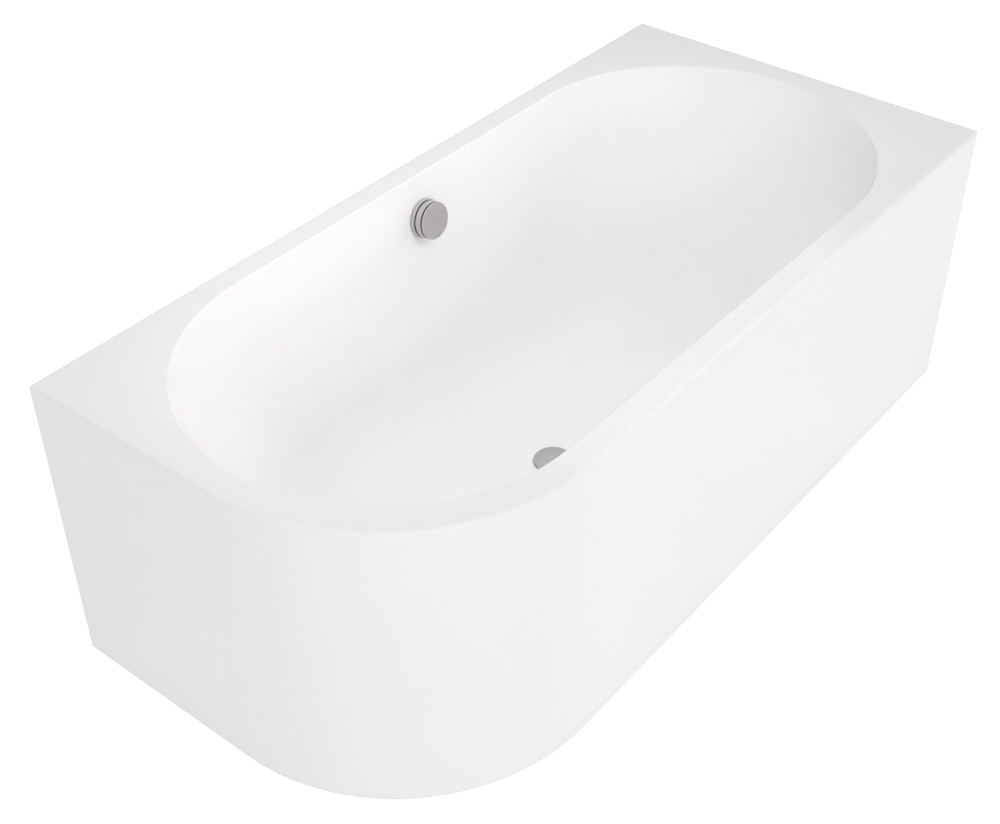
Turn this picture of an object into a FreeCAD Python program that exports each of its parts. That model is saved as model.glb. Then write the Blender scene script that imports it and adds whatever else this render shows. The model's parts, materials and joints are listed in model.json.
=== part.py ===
import FreeCAD, Part
import math
import os

# Corner bath with a seamless skirt, on a leg frame, with a pop-up waste worked from the overflow knob.
# Millimetres. +X runs along the length, the front is at -Y, +Z is up.
# The origin is on the ground, below the middle of the bath.

# Overall sizes
bath_length = 1700.0
bath_width = 810.0
bath_height = 600.0
corner_radius = 405.0

# Tub shell: rims are measured from the outer edge to the sharp edge of the opening
shell_wall = 6.0
rim_side = 48.0
rim_left = 49.5
rim_right = 56.5
side_wall_angle = 8.0
end_wall_angle = 22.0
floor_height = 92.0
floor_radius = 150.0
lip_radius = 5.0
nose_height = 12.0
nose_width = 14.0
nose_radius = 8.0
wall_edge_radius = 2.0
flange_height = 25.0

# Apron
apron_wall = 6.0
apron_ground_gap = 3.0
apron_end_return = 25.0
apron_foot_return = 20.0
apron_flange_gap = 5.0
joint_gap = 0.5

# Base board and rim battens
board_thickness = 15.0
board_margin = 6.0
board_corner_radius = 40.0
board_drain_gap = 6.0
batten_flange_drop = 1.0
batten_gap = 2.0
batten_basin_gap = 4.0

# Leg frame and levelling feet
rail_size = 30.0
rail_wall = 2.0
rail_corner_gap = 85.0
rail_length = 540.0
cap_plate = 3.0
cap_plug_depth = 12.0
foot_inset = 30.0
stud_radius = 6.0
stud_top_proud = 7.0
pad_radius = 24.0
pad_height = 14.0
pad_edge = 5.0
pad_neck_radius = 11.0
pad_floor = 4.0
weld_nut_height = 10.0
lock_nut_height = 6.0
nut_across_flats = 19.0
rail_screw_offset = 85.0
rail_screw_bite = 11.0

# Apron struts
strut_thickness = 4.0
strut_width = 24.0
strut_tab = 34.0
strut_rail_overlap = 105.0
strut_corner_gap = 90.0
block_length = 60.0
block_height = 40.0
block_thickness = 20.0
strut_bolt_radius = 3.0
strut_bolt_length = 12.0
strut_bolt_flats = 10.0
strut_bolt_head = 4.0
strut_bolt_pitch = 30.0
strut_bolt_edge = 15.0

# Wall angles
angle_width = 50.0
angle_drop = 60.0
angle_reach = 38.0
angle_thickness = 3.0
angle_back_half_spacing = 550.0
angle_right_half_spacing = 200.0
angle_hole_radius = 3.5
angle_hole_half_pitch = 15.0
angle_hole_drop = 35.0
angle_screw_inset = 22.0

# Wood screws
screw_radius = 2.0
screw_length = 16.0
screw_head_radius = 4.0
screw_head_height = 2.5

# Overflow and knob
overflow_place = 27.5
overflow_drop = 91.0
overflow_hole_radius = 26.0
overflow_front_seal = 1.5
overflow_back_seal = 2.0
rosette_radius = 39.0
rosette_thickness = 7.0
rosette_bevel = 1.0
rosette_water_radius = 6.0
rosette_hole_circle = 19.0
rosette_holes = 6
knob_radius = 37.0
knob_rosette_gap = 1.5
knob_ring_depth = 14.5
knob_ring_wall = 4.0
knob_web = 3.0
knob_groove = 2.0
knob_groove_depth = 4.0
knob_cap_thickness = 3.5
knob_bevel = 1.0
knob_hub_radius = 9.0
spindle_radius = 4.0
clamp_screw_radius = 2.4
clamp_screw_head_radius = 4.5
clamp_screw_head_height = 3.0
clamp_boss_radius = 9.0
clamp_boss_depth = 22.0
overflow_flange_radius = 37.0
overflow_flange_thickness = 4.0
overflow_cup_radius = 30.0
overflow_cup_depth = 37.0
overflow_cup_wall = 3.0
overflow_socket_place = 24.0
overflow_socket_start = 20.0
overflow_socket_drop = 58.0
cable_box_radius = 17.5
cable_box_depth = 12.0
cable_box_wall = 2.0
cable_drum_radius = 8.0
cable_drum_flange = 12.0
cable_drum_width = 8.0
cable_drum_rim = 1.5

# Overflow pipe and its slip joints
pipe_radius = 16.0
pipe_wall = 2.0
pipe_bend_radius = 60.0
pipe_insertion = 20.0
socket_wall = 2.2
slip_nut_wall = 3.2
slip_nut_length = 18.0
slip_nut_lip = 3.0
slip_seal = 3.0
slip_nut_flutes = 12

# Waste
drain_hole_radius = 26.0
drain_recess_radius = 41.0
waste_upper_gasket = 1.5
waste_lower_gasket = 3.0
waste_flange_radius = 35.0
waste_flange_thickness = 3.0
waste_neck_radius = 24.5
waste_neck_wall = 2.5
waste_neck_length = 27.0
spider_height = 4.0
spider_hub_radius = 8.0
spider_spoke = 3.0
spider_spokes = 3
body_flange_radius = 37.0
body_flange_thickness = 5.0
body_neck_wall = 4.0
body_neck_height = 3.5
trap_radius = 48.0
trap_wall = 3.0
trap_ground_gap = 6.0
trap_cap_floor = 4.0
trap_cap_wall = 3.2
trap_cap_height = 15.5
trap_cap_flutes = 20
flute_radius = 4.0
flute_depth = 1.2
trap_seal_height = 1.5
trap_partition_gap = 3.5
trap_partition_clear = 7.0
inlet_roof_gap = 4.5
inlet_length = 40.0
outlet_radius = 20.0
outlet_wall = 2.0
outlet_reach = 120.0
outlet_collar = 2.0
outlet_collar_reach = 6.0

# Plug and rocker
plug_cover_radius = 39.0
plug_cover_edge = 2.4
plug_cover_dome = 1.6
plug_cover_gap = 0.4
plug_disc_radius = 18.0
plug_disc_depth = 8.0
plug_seal_height = 3.0
plug_seal_gap = 0.3
stem_radius = 4.0
rocker_arm = 14.0
rocker_swing = 50.0
rocker_tip_radius = 3.0
rocker_arm_thickness = 3.0
rocker_finger_width = 12.0
rocker_hub_radius = 6.0
rocker_shaft_radius = 3.0
rocker_axis_drop = 21.0
rocker_lift_gap = 0.3
lever_pad_proud = 1.0
lever_drum_radius = 12.0
lever_drum_flange = 13.0
lever_drum_width = 8.0
lever_drum_gap = 0.5
lever_box_half = 17.0
lever_box_wall = 2.5
lever_gland_length = 14.0

# Cable between the overflow and the waste
cable_radius = 3.0
cable_gland_wall = 1.5
cable_gland_length = 12.0
cable_straight = 28.0
cable_bend_radius = 60.0
cable_easing_radius = 200.0
clip_height = 8.0
clip_wall = 2.5
clip_places = (0.35, 0.7)

# Fits: running fits turn or slide, fastener fits are for screws in their holes
running_fit = 0.1
fastener_fit = 0.15
cut_over = 20.0
edge_slack = 0.5

# Places worked out from the sizes
half_length = bath_length / 2.0
half_width = bath_width / 2.0
side_lean = math.tan(math.radians(side_wall_angle))
end_lean = math.tan(math.radians(end_wall_angle))
side_slant = 1.0 / math.cos(math.radians(side_wall_angle))
end_slant = 1.0 / math.cos(math.radians(end_wall_angle))
side_set_back = math.tan(math.radians(45.0 - side_wall_angle / 2.0))
end_set_back = math.tan(math.radians(45.0 - end_wall_angle / 2.0))
corner_x = corner_radius - half_length
corner_y = corner_radius - half_width
deck_under = bath_height - shell_wall
nose_under = bath_height - nose_height
flange_under = bath_height - flange_height
opening_half_width = half_width - rim_side
opening_left = rim_left - half_length
opening_right = half_length - rim_right
basin_depth = bath_height - floor_height
flat_half_width = opening_half_width - basin_depth * side_lean - floor_radius * side_set_back
flat_left = opening_left + basin_depth * end_lean + floor_radius * end_set_back
flat_right = opening_right - basin_depth * end_lean - floor_radius * end_set_back
floor_under = floor_height - shell_wall
board_under = floor_under - board_thickness
rail_under = board_under - rail_size
rail_middle = board_under - rail_size / 2.0
rail_half_spacing = half_length - corner_radius - rail_corner_gap
foot_y = rail_length / 2.0 - foot_inset
strut_left_place = corner_y + strut_corner_gap
batten_under = flange_under - batten_flange_drop
apron_inner_y = apron_wall - half_width
apron_inner_x = apron_wall - half_length

overflow_height = bath_height - overflow_drop
overflow_wall_y = opening_half_width - overflow_drop * side_lean
overflow_frame = FreeCAD.Placement(
    FreeCAD.Vector(overflow_place, overflow_wall_y, overflow_height),
    FreeCAD.Rotation(FreeCAD.Vector(1, 0, 0), 90.0 - side_wall_angle))
rosette_back = overflow_front_seal
rosette_front = rosette_back + rosette_thickness
ring_back = rosette_front + knob_rosette_gap
ring_front = ring_back + knob_ring_depth
cap_back = ring_front + knob_groove
cap_front = cap_back + knob_cap_thickness
overflow_flange_front = -shell_wall - overflow_back_seal
overflow_flange_back = overflow_flange_front - overflow_flange_thickness
overflow_cup_back = overflow_flange_front - overflow_cup_depth
cable_box_back = overflow_cup_back - cable_box_depth
drum_middle = overflow_cup_back - (cable_box_depth - cable_box_wall) / 2.0
socket_bore = pipe_radius + running_fit
socket_radius = socket_bore + socket_wall
slip_nut_radius = socket_radius + running_fit + slip_nut_wall
socket_y = overflow_wall_y + overflow_socket_place / side_slant
socket_middle = overflow_height - overflow_socket_place * math.sin(math.radians(side_wall_angle))
socket_top = socket_middle - overflow_socket_start
socket_end = socket_middle - overflow_socket_drop

recess_floor = floor_height - waste_flange_thickness - waste_upper_gasket
recess_under = recess_floor - shell_wall
body_top = recess_under - waste_lower_gasket
board_drain_radius = drain_recess_radius + shell_wall + board_drain_gap
trap_roof = body_top - body_flange_thickness - body_neck_height
trap_ceiling = trap_roof - trap_wall
trap_bore = trap_radius - trap_wall
trap_cap_inside = trap_ground_gap + trap_cap_floor
trap_rim = trap_cap_inside + trap_seal_height
waste_bore = waste_neck_radius - waste_neck_wall
waste_neck_end = floor_height - waste_flange_thickness - waste_neck_length
inlet_height = trap_ceiling - inlet_roof_gap - socket_radius
inlet_end = trap_radius + inlet_length
plug_under = floor_height + plug_cover_gap
rocker_half_swing = math.radians(rocker_swing / 2.0)
rocker_y = -rocker_arm * (1.0 + math.cos(rocker_half_swing)) / 2.0
rocker_height = trap_ceiling - rocker_axis_drop
stem_end = rocker_height - rocker_arm * math.sin(rocker_half_swing) + rocker_tip_radius + rocker_lift_gap
lever_face = trap_radius + lever_pad_proud
lever_drum_start = lever_face + lever_drum_gap
lever_drum_end = lever_drum_start + lever_drum_width
lever_cavity_end = lever_drum_end + lever_drum_gap
lever_box_end = lever_cavity_end + lever_box_wall
lever_gland_start = rocker_y + lever_box_half
cable_low = rocker_height - lever_drum_radius
cable_end_x = (lever_drum_start + lever_drum_end) / 2.0


def vec(x, y, z):
    return FreeCAD.Vector(x, y, z)


def box(low, high):
    size = high - low
    return Part.makeBox(size.x, size.y, size.z, low)


def rod(radius, start, end):
    run = end - start
    return Part.makeCylinder(radius, run.Length, start, run)


def tube(outer, inner, start, end):
    return rod(outer, start, end).cut(rod(inner, start, end))


def spun(profile):
    # Solid turned about the Z axis from its (radius, height) corners.
    corners = [vec(radius, 0, height) for radius, height in profile]
    face = Part.Face(Part.makePolygon(corners + corners[:1]))
    return face.revolve(vec(0, 0, 0), vec(0, 0, 1), 360)


def moved(shape, placement):
    copy = shape.copy()
    copy.transformShape(placement.toMatrix(), True)
    return copy


def at_overflow(shape):
    # From the overflow's own frame: Z points out of the wall into the basin, Y up along the wall.
    return moved(shape, overflow_frame)


def group(solids):
    return Part.makeCompound(solids)


def hex_prism(across_flats, height):
    corner = across_flats / math.sqrt(3.0)
    points = [vec(corner * math.cos(math.radians(60 * k)), corner * math.sin(math.radians(60 * k)), 0)
              for k in range(6)]
    return Part.Face(Part.makePolygon(points + points[:1])).extrude(vec(0, 0, height))


def head_screw(start, direction, length):
    # Pan head outside the start face, shank along the direction.
    along = FreeCAD.Vector(direction).normalize()
    head = rod(screw_head_radius, start - along * screw_head_height, start)
    return head.fuse(rod(screw_radius, start, start + along * length)).removeSplitter()


def screw_hole(start, direction, length):
    along = FreeCAD.Vector(direction).normalize()
    return rod(screw_radius + fastener_fit, start, start + along * (length + fastener_fit))


def outline(inset, end_inset):
    # Plan of the bath, drawn in by inset at the front, the rounded corner and the left end,
    # and by end_inset at the back and the right end.
    left = inset - half_length
    front = inset - half_width
    right = half_length - end_inset
    back = half_width - end_inset
    radius = corner_radius - inset
    bend = math.sqrt(0.5) * radius
    middle = vec(corner_x - bend, corner_y - bend, 0)
    arc = Part.Arc(vec(left, corner_y, 0), middle, vec(corner_x, front, 0))
    edges = [Part.LineSegment(vec(left, back, 0), vec(left, corner_y, 0)).toShape(),
             arc.toShape(),
             Part.LineSegment(vec(corner_x, front, 0), vec(right, front, 0)).toShape(),
             Part.LineSegment(vec(right, front, 0), vec(right, back, 0)).toShape(),
             Part.LineSegment(vec(right, back, 0), vec(left, back, 0)).toShape()]
    return Part.Face(Part.Wire(edges))


def slab(face, low, high):
    return face.translated(vec(0, 0, low)).extrude(vec(0, 0, high - low))


def skirt_strip(outer_inset, inner_inset, low, high):
    # Strip that follows the front, the rounded corner and the left end.
    outer = slab(outline(outer_inset, 0.0), low, high)
    return outer.cut(slab(outline(inner_inset, -cut_over), low, high))


def basin_section(height, wall):
    # Long oval with straight sides and round ends, offset outwards by the wall.
    drop = bath_height - height
    radius = opening_half_width - drop * side_lean + wall * side_slant
    left = opening_left + drop * end_lean - wall * end_slant + radius
    right = opening_right - drop * end_lean + wall * end_slant - radius
    bend = math.sqrt(0.5) * radius
    front_left = vec(left, -radius, height)
    front_right = vec(right, -radius, height)
    back_right = vec(right, radius, height)
    back_left = vec(left, radius, height)
    left_tip = vec(left - radius, 0, height)
    right_tip = vec(right + radius, 0, height)
    return Part.Wire([
        Part.LineSegment(front_left, front_right).toShape(),
        Part.Arc(front_right, vec(right + bend, -bend, height), right_tip).toShape(),
        Part.Arc(right_tip, vec(right + bend, bend, height), back_right).toShape(),
        Part.LineSegment(back_right, back_left).toShape(),
        Part.Arc(back_left, vec(left - bend, bend, height), left_tip).toShape(),
        Part.Arc(left_tip, vec(left - bend, -bend, height), front_left).toShape()])


def basin_form(top, bottom, wall):
    # Drafted basin with its floor edge rolled to the floor radius.
    form = Part.makeLoft([basin_section(top, wall), basin_section(bottom, wall)], True, True)
    floor_edges = [edge for edge in form.Edges if edge.BoundBox.ZMax < bottom + edge_slack]
    return form.makeFillet(floor_radius + wall, floor_edges)


def tub_shell():
    deck = slab(outline(0.0, 0.0), deck_under, bath_height)
    nose = skirt_strip(0.0, nose_width, nose_under, deck_under)
    back_flange = box(vec(apron_inner_x + joint_gap, half_width - shell_wall, flange_under),
                      vec(half_length, half_width, deck_under))
    right_flange = box(vec(half_length - shell_wall, apron_inner_y + joint_gap, flange_under),
                       vec(half_length, half_width, deck_under))
    drain_cup = rod(drain_recess_radius + shell_wall, vec(0, 0, recess_under), vec(0, 0, floor_height))
    basin = basin_form(deck_under, floor_under, shell_wall)
    solid = deck.fuse([nose, back_flange, right_flange, basin, drain_cup])
    solid = solid.cut(basin_form(bath_height, floor_height, 0.0))
    solid = solid.cut(rod(drain_recess_radius, vec(0, 0, recess_floor), vec(0, 0, floor_height + cut_over)))
    solid = solid.removeSplitter()
    solid = solid.makeFillet(lip_radius, deck_edges(solid, is_opening_edge))
    solid = solid.makeFillet(nose_radius, deck_edges(solid, is_skirt_edge))
    solid = solid.makeFillet(wall_edge_radius, deck_edges(solid, is_wall_edge))
    solid = solid.cut(rod(drain_hole_radius, vec(0, 0, recess_under - cut_over), vec(0, 0, floor_height)))
    hole = rod(overflow_hole_radius, vec(0, 0, -shell_wall - cut_over), vec(0, 0, cut_over))
    return solid.cut(at_overflow(hole))


def deck_edges(solid, wanted):
    return [edge for edge in solid.Edges
            if abs(edge.BoundBox.ZMin - bath_height) < edge_slack and wanted(edge.BoundBox)]


def is_opening_edge(bounds):
    inside_x = opening_left - edge_slack < bounds.XMin and bounds.XMax < opening_right + edge_slack
    inside_y = max(-bounds.YMin, bounds.YMax) < opening_half_width + edge_slack
    return inside_x and inside_y


def is_wall_edge(bounds):
    return bounds.YMin > half_width - edge_slack or bounds.XMin > half_length - edge_slack


def is_skirt_edge(bounds):
    # Outer edges of the front, the rounded corner and the left end.
    inside_x = bounds.XMin > -half_length + nose_radius
    inside_y = bounds.YMin > -half_width + nose_radius
    return not (inside_x and inside_y) and not is_wall_edge(bounds)


def apron():
    wall = skirt_strip(0.0, apron_wall, apron_ground_gap, nose_under)
    foot_top = apron_ground_gap + apron_wall
    foot = skirt_strip(apron_wall, apron_wall + apron_foot_return, apron_ground_gap, foot_top)
    return_top = flange_under - apron_flange_gap
    left_end = box(vec(apron_inner_x, half_width - apron_wall, apron_ground_gap),
                   vec(apron_inner_x + apron_end_return, half_width, return_top))
    right_end = box(vec(half_length - apron_wall, apron_inner_y, apron_ground_gap),
                    vec(half_length, apron_inner_y + apron_end_return, return_top))
    return wall.fuse([foot, left_end, right_end]).removeSplitter()


def base_board():
    low = vec(flat_left + board_margin, board_margin - flat_half_width, board_under)
    high = vec(flat_right - board_margin, flat_half_width - board_margin, floor_under)
    board = box(low, high)
    uprights = [edge for edge in board.Edges if edge.BoundBox.ZLength > board_thickness / 2.0]
    board = board.makeFillet(board_corner_radius, uprights)
    board = board.cut(rod(board_drain_radius, vec(0, 0, board_under), vec(0, 0, floor_under)))
    for start in rail_screw_places():
        board = board.cut(screw_hole(start, vec(0, 0, 1), rail_size + rail_screw_bite))
    return board


def batten_inner(offset):
    return offset + shell_wall * side_slant + batten_basin_gap


def rim_batten_back():
    low = vec(apron_inner_x + apron_end_return, batten_inner(opening_half_width), batten_under)
    high = vec(half_length - shell_wall - batten_gap, half_width - shell_wall - batten_gap, deck_under)
    batten = box(low, high)
    for start in back_angle_screws():
        batten = batten.cut(screw_hole(start, vec(0, 0, 1), screw_length))
    return batten


def rim_batten_front():
    low = vec(corner_x, nose_width + batten_gap - half_width, batten_under)
    high = vec(half_length - shell_wall - batten_gap, -batten_inner(opening_half_width), deck_under)
    return box(low, high)


def rim_batten_left():
    low = vec(nose_width + batten_gap - half_length, corner_y + rim_left, batten_under)
    inner = opening_left - shell_wall * end_slant - batten_basin_gap
    high = vec(inner, batten_inner(opening_half_width) - batten_gap, deck_under)
    return box(low, high)


def rim_batten_right():
    inner = opening_right + shell_wall * end_slant + batten_basin_gap
    end_y = batten_inner(opening_half_width) - batten_gap
    high_x = half_length - shell_wall - batten_gap
    batten = box(vec(inner, -end_y, batten_under), vec(high_x, end_y, deck_under))
    for start in right_angle_screws():
        batten = batten.cut(screw_hole(start, vec(0, 0, 1), screw_length))
    return batten


def rail_screw_places():
    return [vec(side * rail_half_spacing, place * rail_screw_offset, rail_under)
            for side in (-1, 1) for place in (-1, 1)]


def leg_rail(side):
    middle = side * rail_half_spacing
    reach = rail_length / 2.0
    half = rail_size / 2.0
    rail = box(vec(middle - half, -reach, rail_under), vec(middle + half, reach, board_under))
    bore = half - rail_wall
    rail = rail.cut(box(vec(middle - bore, -reach, rail_under + rail_wall),
                        vec(middle + bore, reach, board_under - rail_wall)))
    for end in (-1, 1):
        place = vec(middle, end * foot_y, rail_under)
        rail = rail.cut(rod(stud_radius + running_fit, place, place + vec(0, 0, rail_size)))
    for start in rail_screw_places():
        rail = rail.cut(screw_hole(start, vec(0, 0, 1), rail_size))
    for start in strut_bolt_places(side):
        rail = rail.cut(bolt_hole(start, side, strut_bolt_length))
    return rail


def rail_end_caps():
    caps = []
    plug = rail_size / 2.0 - rail_wall - running_fit
    half = rail_size / 2.0
    for side in (-1, 1):
        middle = side * rail_half_spacing
        for end in (-1, 1):
            face = end * rail_length / 2.0
            outer = sorted((face, face + end * cap_plate))
            inner = sorted((face, face - end * cap_plug_depth))
            plate = box(vec(middle - half, outer[0], rail_under), vec(middle + half, outer[1], board_under))
            core = box(vec(middle - plug, inner[0], rail_middle - plug),
                       vec(middle + plug, inner[1], rail_middle + plug))
            caps.append(plate.fuse(core).removeSplitter())
    return group(caps)


def rail_screws():
    reach = rail_size + rail_screw_bite
    return group([head_screw(start, vec(0, 0, 1), reach) for start in rail_screw_places()])


def foot_places():
    return {"front_left": vec(-rail_half_spacing, -foot_y, 0),
            "front_right": vec(rail_half_spacing, -foot_y, 0),
            "back_left": vec(-rail_half_spacing, foot_y, 0),
            "back_right": vec(rail_half_spacing, foot_y, 0)}


def foot_nuts(top, height):
    nut = hex_prism(nut_across_flats, height)
    nut = nut.cut(rod(stud_radius + running_fit, vec(0, 0, 0), vec(0, 0, height)))
    return group([nut.translated(place + vec(0, 0, top - height)) for place in foot_places().values()])


def foot_stud(place):
    return rod(stud_radius, place + vec(0, 0, pad_floor), place + vec(0, 0, board_under + stud_top_proud))


def foot_pad(place):
    profile = [(0, 0), (pad_radius, 0), (pad_radius, pad_edge), (pad_neck_radius, pad_height),
               (stud_radius, pad_height), (stud_radius, pad_floor), (0, pad_floor)]
    return spun(profile).translated(place)


def strut_side(side):
    return side * (rail_half_spacing + rail_size / 2.0)


def front_tab_face():
    return apron_inner_y + block_thickness


def left_tab_face():
    return apron_inner_x + block_thickness


def left_tab_middle():
    return strut_left_place + (strut_thickness + strut_tab) / 2.0


def strut_bolt_places(side):
    # Outer faces of the struts on one rail, where the bolts into the rail start.
    face = strut_side(side) + side * strut_thickness
    first = strut_rail_overlap - rail_length / 2.0 - strut_bolt_edge
    places = [vec(face, first - k * strut_bolt_pitch, rail_middle) for k in (0, 1)]
    if side < 0:
        places += [vec(face, left_tab_middle(), rail_middle + turn * strut_width / 4.0) for turn in (-1, 1)]
    return places


def bolt_hole(start, side, length):
    return rod(strut_bolt_radius + fastener_fit, start, start - vec(side * (length + fastener_fit), 0, 0))


def front_tab_screws(side):
    place = strut_side(side) + side * (strut_thickness + strut_tab) / 2.0
    shift = strut_width / 4.0
    return [vec(place, front_tab_face() + strut_thickness, rail_middle + turn * shift) for turn in (-1, 1)]


def left_tab_screws():
    face = left_tab_face() + strut_thickness
    shift = strut_width / 4.0
    return [vec(face, left_tab_middle(), rail_middle + turn * shift) for turn in (-1, 1)]


def apron_struts_front():
    # Bars on edge from the rails to the front of the apron, with a tab bent outwards at the apron.
    struts = []
    half = strut_width / 2.0
    for side in (-1, 1):
        face = strut_side(side)
        bar_x = sorted((face, face + side * strut_thickness))
        tab_x = sorted((face, face + side * strut_tab))
        start = strut_rail_overlap - rail_length / 2.0
        bar = box(vec(bar_x[0], front_tab_face(), rail_middle - half),
                  vec(bar_x[1], start, rail_middle + half))
        tab = box(vec(tab_x[0], front_tab_face(), rail_middle - half),
                  vec(tab_x[1], front_tab_face() + strut_thickness, rail_middle + half))
        strut = bar.fuse(tab).removeSplitter()
        for place in front_tab_screws(side):
            strut = strut.cut(screw_hole(place, vec(0, -1, 0), strut_thickness))
        for place in strut_bolt_places(side):
            strut = strut.cut(bolt_hole(place, side, strut_thickness))
        struts.append(strut)
    return group(struts)


def apron_strut_left():
    # Bar on edge from the left rail to the left end of the apron, with a tab bent at both ends.
    low = rail_middle - strut_width / 2.0
    high = rail_middle + strut_width / 2.0
    start = left_tab_face()
    end = strut_side(-1)
    tab_end = strut_left_place + strut_tab
    bar = box(vec(start, strut_left_place, low), vec(end, strut_left_place + strut_thickness, high))
    apron_tab = box(vec(start, strut_left_place, low), vec(start + strut_thickness, tab_end, high))
    rail_tab = box(vec(end - strut_thickness, strut_left_place, low), vec(end, tab_end, high))
    strut = bar.fuse([apron_tab, rail_tab]).removeSplitter()
    for place in left_tab_screws():
        strut = strut.cut(screw_hole(place, vec(-1, 0, 0), strut_thickness))
    for place in strut_bolt_places(-1):
        strut = strut.cut(bolt_hole(place, -1, strut_thickness))
    return strut


def apron_blocks():
    blocks = []
    for side in (-1, 1):
        place = strut_side(side) + side * (strut_thickness + strut_tab) / 2.0
        middle = vec(place, apron_inner_y, rail_middle)
        block = box(middle - vec(block_length / 2.0, 0, block_height / 2.0),
                    middle + vec(block_length / 2.0, block_thickness, block_height / 2.0))
        for place in front_tab_screws(side):
            block = block.cut(screw_hole(place, vec(0, -1, 0), screw_length))
        blocks.append(block)
    middle = vec(apron_inner_x, left_tab_middle(), rail_middle)
    block = box(middle - vec(0, block_length / 2.0, block_height / 2.0),
                middle + vec(block_thickness, block_length / 2.0, block_height / 2.0))
    for place in left_tab_screws():
        block = block.cut(screw_hole(place, vec(-1, 0, 0), screw_length))
    blocks.append(block)
    return group(blocks)


def strut_screws():
    screws = []
    for side in (-1, 1):
        screws += [head_screw(place, vec(0, -1, 0), screw_length) for place in front_tab_screws(side)]
    screws += [head_screw(place, vec(-1, 0, 0), screw_length) for place in left_tab_screws()]
    return group(screws)


def strut_bolts():
    bolts = []
    for side in (-1, 1):
        outward = FreeCAD.Rotation(vec(0, 0, 1), vec(side, 0, 0))
        for place in strut_bolt_places(side):
            head = moved(hex_prism(strut_bolt_flats, strut_bolt_head), FreeCAD.Placement(place, outward))
            shank = rod(strut_bolt_radius, place, place - vec(side * strut_bolt_length, 0, 0))
            bolts.append(head.fuse(shank).removeSplitter())
    return group(bolts)


def wall_angle():
    # Angle on a wall at Y = 0, below the wall flange: its arm reaches out along -Y under the batten.
    half = angle_width / 2.0
    plate = box(vec(-half, -angle_thickness, batten_under - angle_drop), vec(half, 0, batten_under))
    arm = box(vec(-half, -angle_reach, batten_under - angle_thickness), vec(half, 0, batten_under))
    angle = plate.fuse(arm).removeSplitter()
    for side in (-1, 1):
        hole = vec(side * angle_hole_half_pitch, 0, batten_under - angle_hole_drop)
        angle = angle.cut(rod(angle_hole_radius, hole, hole - vec(0, angle_thickness, 0)))
        start = vec(side * angle_hole_half_pitch, -angle_screw_inset, batten_under - angle_thickness)
        angle = angle.cut(screw_hole(start, vec(0, 0, 1), angle_thickness))
    return angle


def back_angle_places():
    return [FreeCAD.Placement(vec(side * angle_back_half_spacing, half_width, 0), FreeCAD.Rotation())
            for side in (-1, 1)]


def right_angle_places():
    turn = FreeCAD.Rotation(vec(0, 0, 1), -90)
    return [FreeCAD.Placement(vec(half_length, side * angle_right_half_spacing, 0), turn)
            for side in (-1, 1)]


def angle_screw_starts(places):
    start = vec(angle_hole_half_pitch, -angle_screw_inset, batten_under - angle_thickness)
    other = vec(-start.x, start.y, start.z)
    return [place.multVec(point) for place in places for point in (start, other)]


def back_angle_screws():
    return angle_screw_starts(back_angle_places())


def right_angle_screws():
    return angle_screw_starts(right_angle_places())


def wall_angles():
    return group([moved(wall_angle(), place) for place in back_angle_places() + right_angle_places()])


def wall_angle_screws():
    starts = back_angle_screws() + right_angle_screws()
    return group([head_screw(start, vec(0, 0, 1), screw_length) for start in starts])


def overflow_seal_front():
    return at_overflow(tube(overflow_flange_radius, overflow_hole_radius,
                            vec(0, 0, 0), vec(0, 0, rosette_back)))


def overflow_rosette():
    rim = rosette_radius - rosette_bevel
    bore = spindle_radius + running_fit
    disc = spun([(bore, rosette_back), (rosette_radius, rosette_back),
                 (rosette_radius, rosette_front - rosette_bevel),
                 (rim, rosette_front), (bore, rosette_front)])
    for k in range(rosette_holes):
        turn = FreeCAD.Rotation(vec(0, 0, 1), 360.0 * k / rosette_holes)
        place = turn.multVec(vec(rosette_hole_circle, 0, rosette_back))
        is_screw_hole = k % (rosette_holes // 2) == 0
        radius = clamp_screw_radius + fastener_fit if is_screw_hole else rosette_water_radius
        disc = disc.cut(rod(radius, place, place + vec(0, 0, rosette_thickness)))
    return at_overflow(disc)


def overflow_seal_back():
    return at_overflow(tube(overflow_flange_radius, overflow_hole_radius,
                            vec(0, 0, overflow_flange_front), vec(0, 0, -shell_wall)))


def overflow_body():
    inner_back = vec(0, 0, overflow_cup_back + overflow_cup_wall)
    back = vec(0, 0, overflow_cup_back)
    front = vec(0, 0, overflow_flange_front)
    cup = rod(overflow_cup_radius, back, front)
    flange = rod(overflow_flange_radius, vec(0, 0, overflow_flange_back), front)
    end = vec(overflow_place, socket_y, socket_end)
    stop = end + vec(0, 0, pipe_insertion)
    body = at_overflow(cup.fuse(flange)).fuse(rod(socket_radius, end, vec(end.x, end.y, socket_top)))
    body = body.cut(at_overflow(rod(overflow_cup_radius - overflow_cup_wall, inner_back, front)))
    body = body.cut(at_overflow(rod(spindle_radius + running_fit, back, inner_back)))
    body = body.cut(rod(socket_bore, end, stop))
    body = body.cut(rod(pipe_radius - pipe_wall, stop, vec(end.x, end.y, socket_middle)))
    bosses = []
    for side in (-1, 1):
        place = vec(side * rosette_hole_circle, 0, overflow_flange_front)
        tip = place - vec(0, 0, clamp_boss_depth)
        boss = tube(clamp_boss_radius, clamp_screw_radius + fastener_fit, tip, place)
        bosses.append(at_overflow(boss.common(cup)))
    return body.fuse(bosses).removeSplitter()


def overflow_screws():
    screws = []
    for side in (-1, 1):
        face = vec(side * rosette_hole_circle, 0, rosette_front)
        head = rod(clamp_screw_head_radius, face, face + vec(0, 0, clamp_screw_head_height))
        tip = vec(face.x, 0, overflow_flange_front - clamp_boss_depth)
        screws.append(at_overflow(head.fuse(rod(clamp_screw_radius, tip, face)).removeSplitter()))
    return group(screws)


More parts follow.
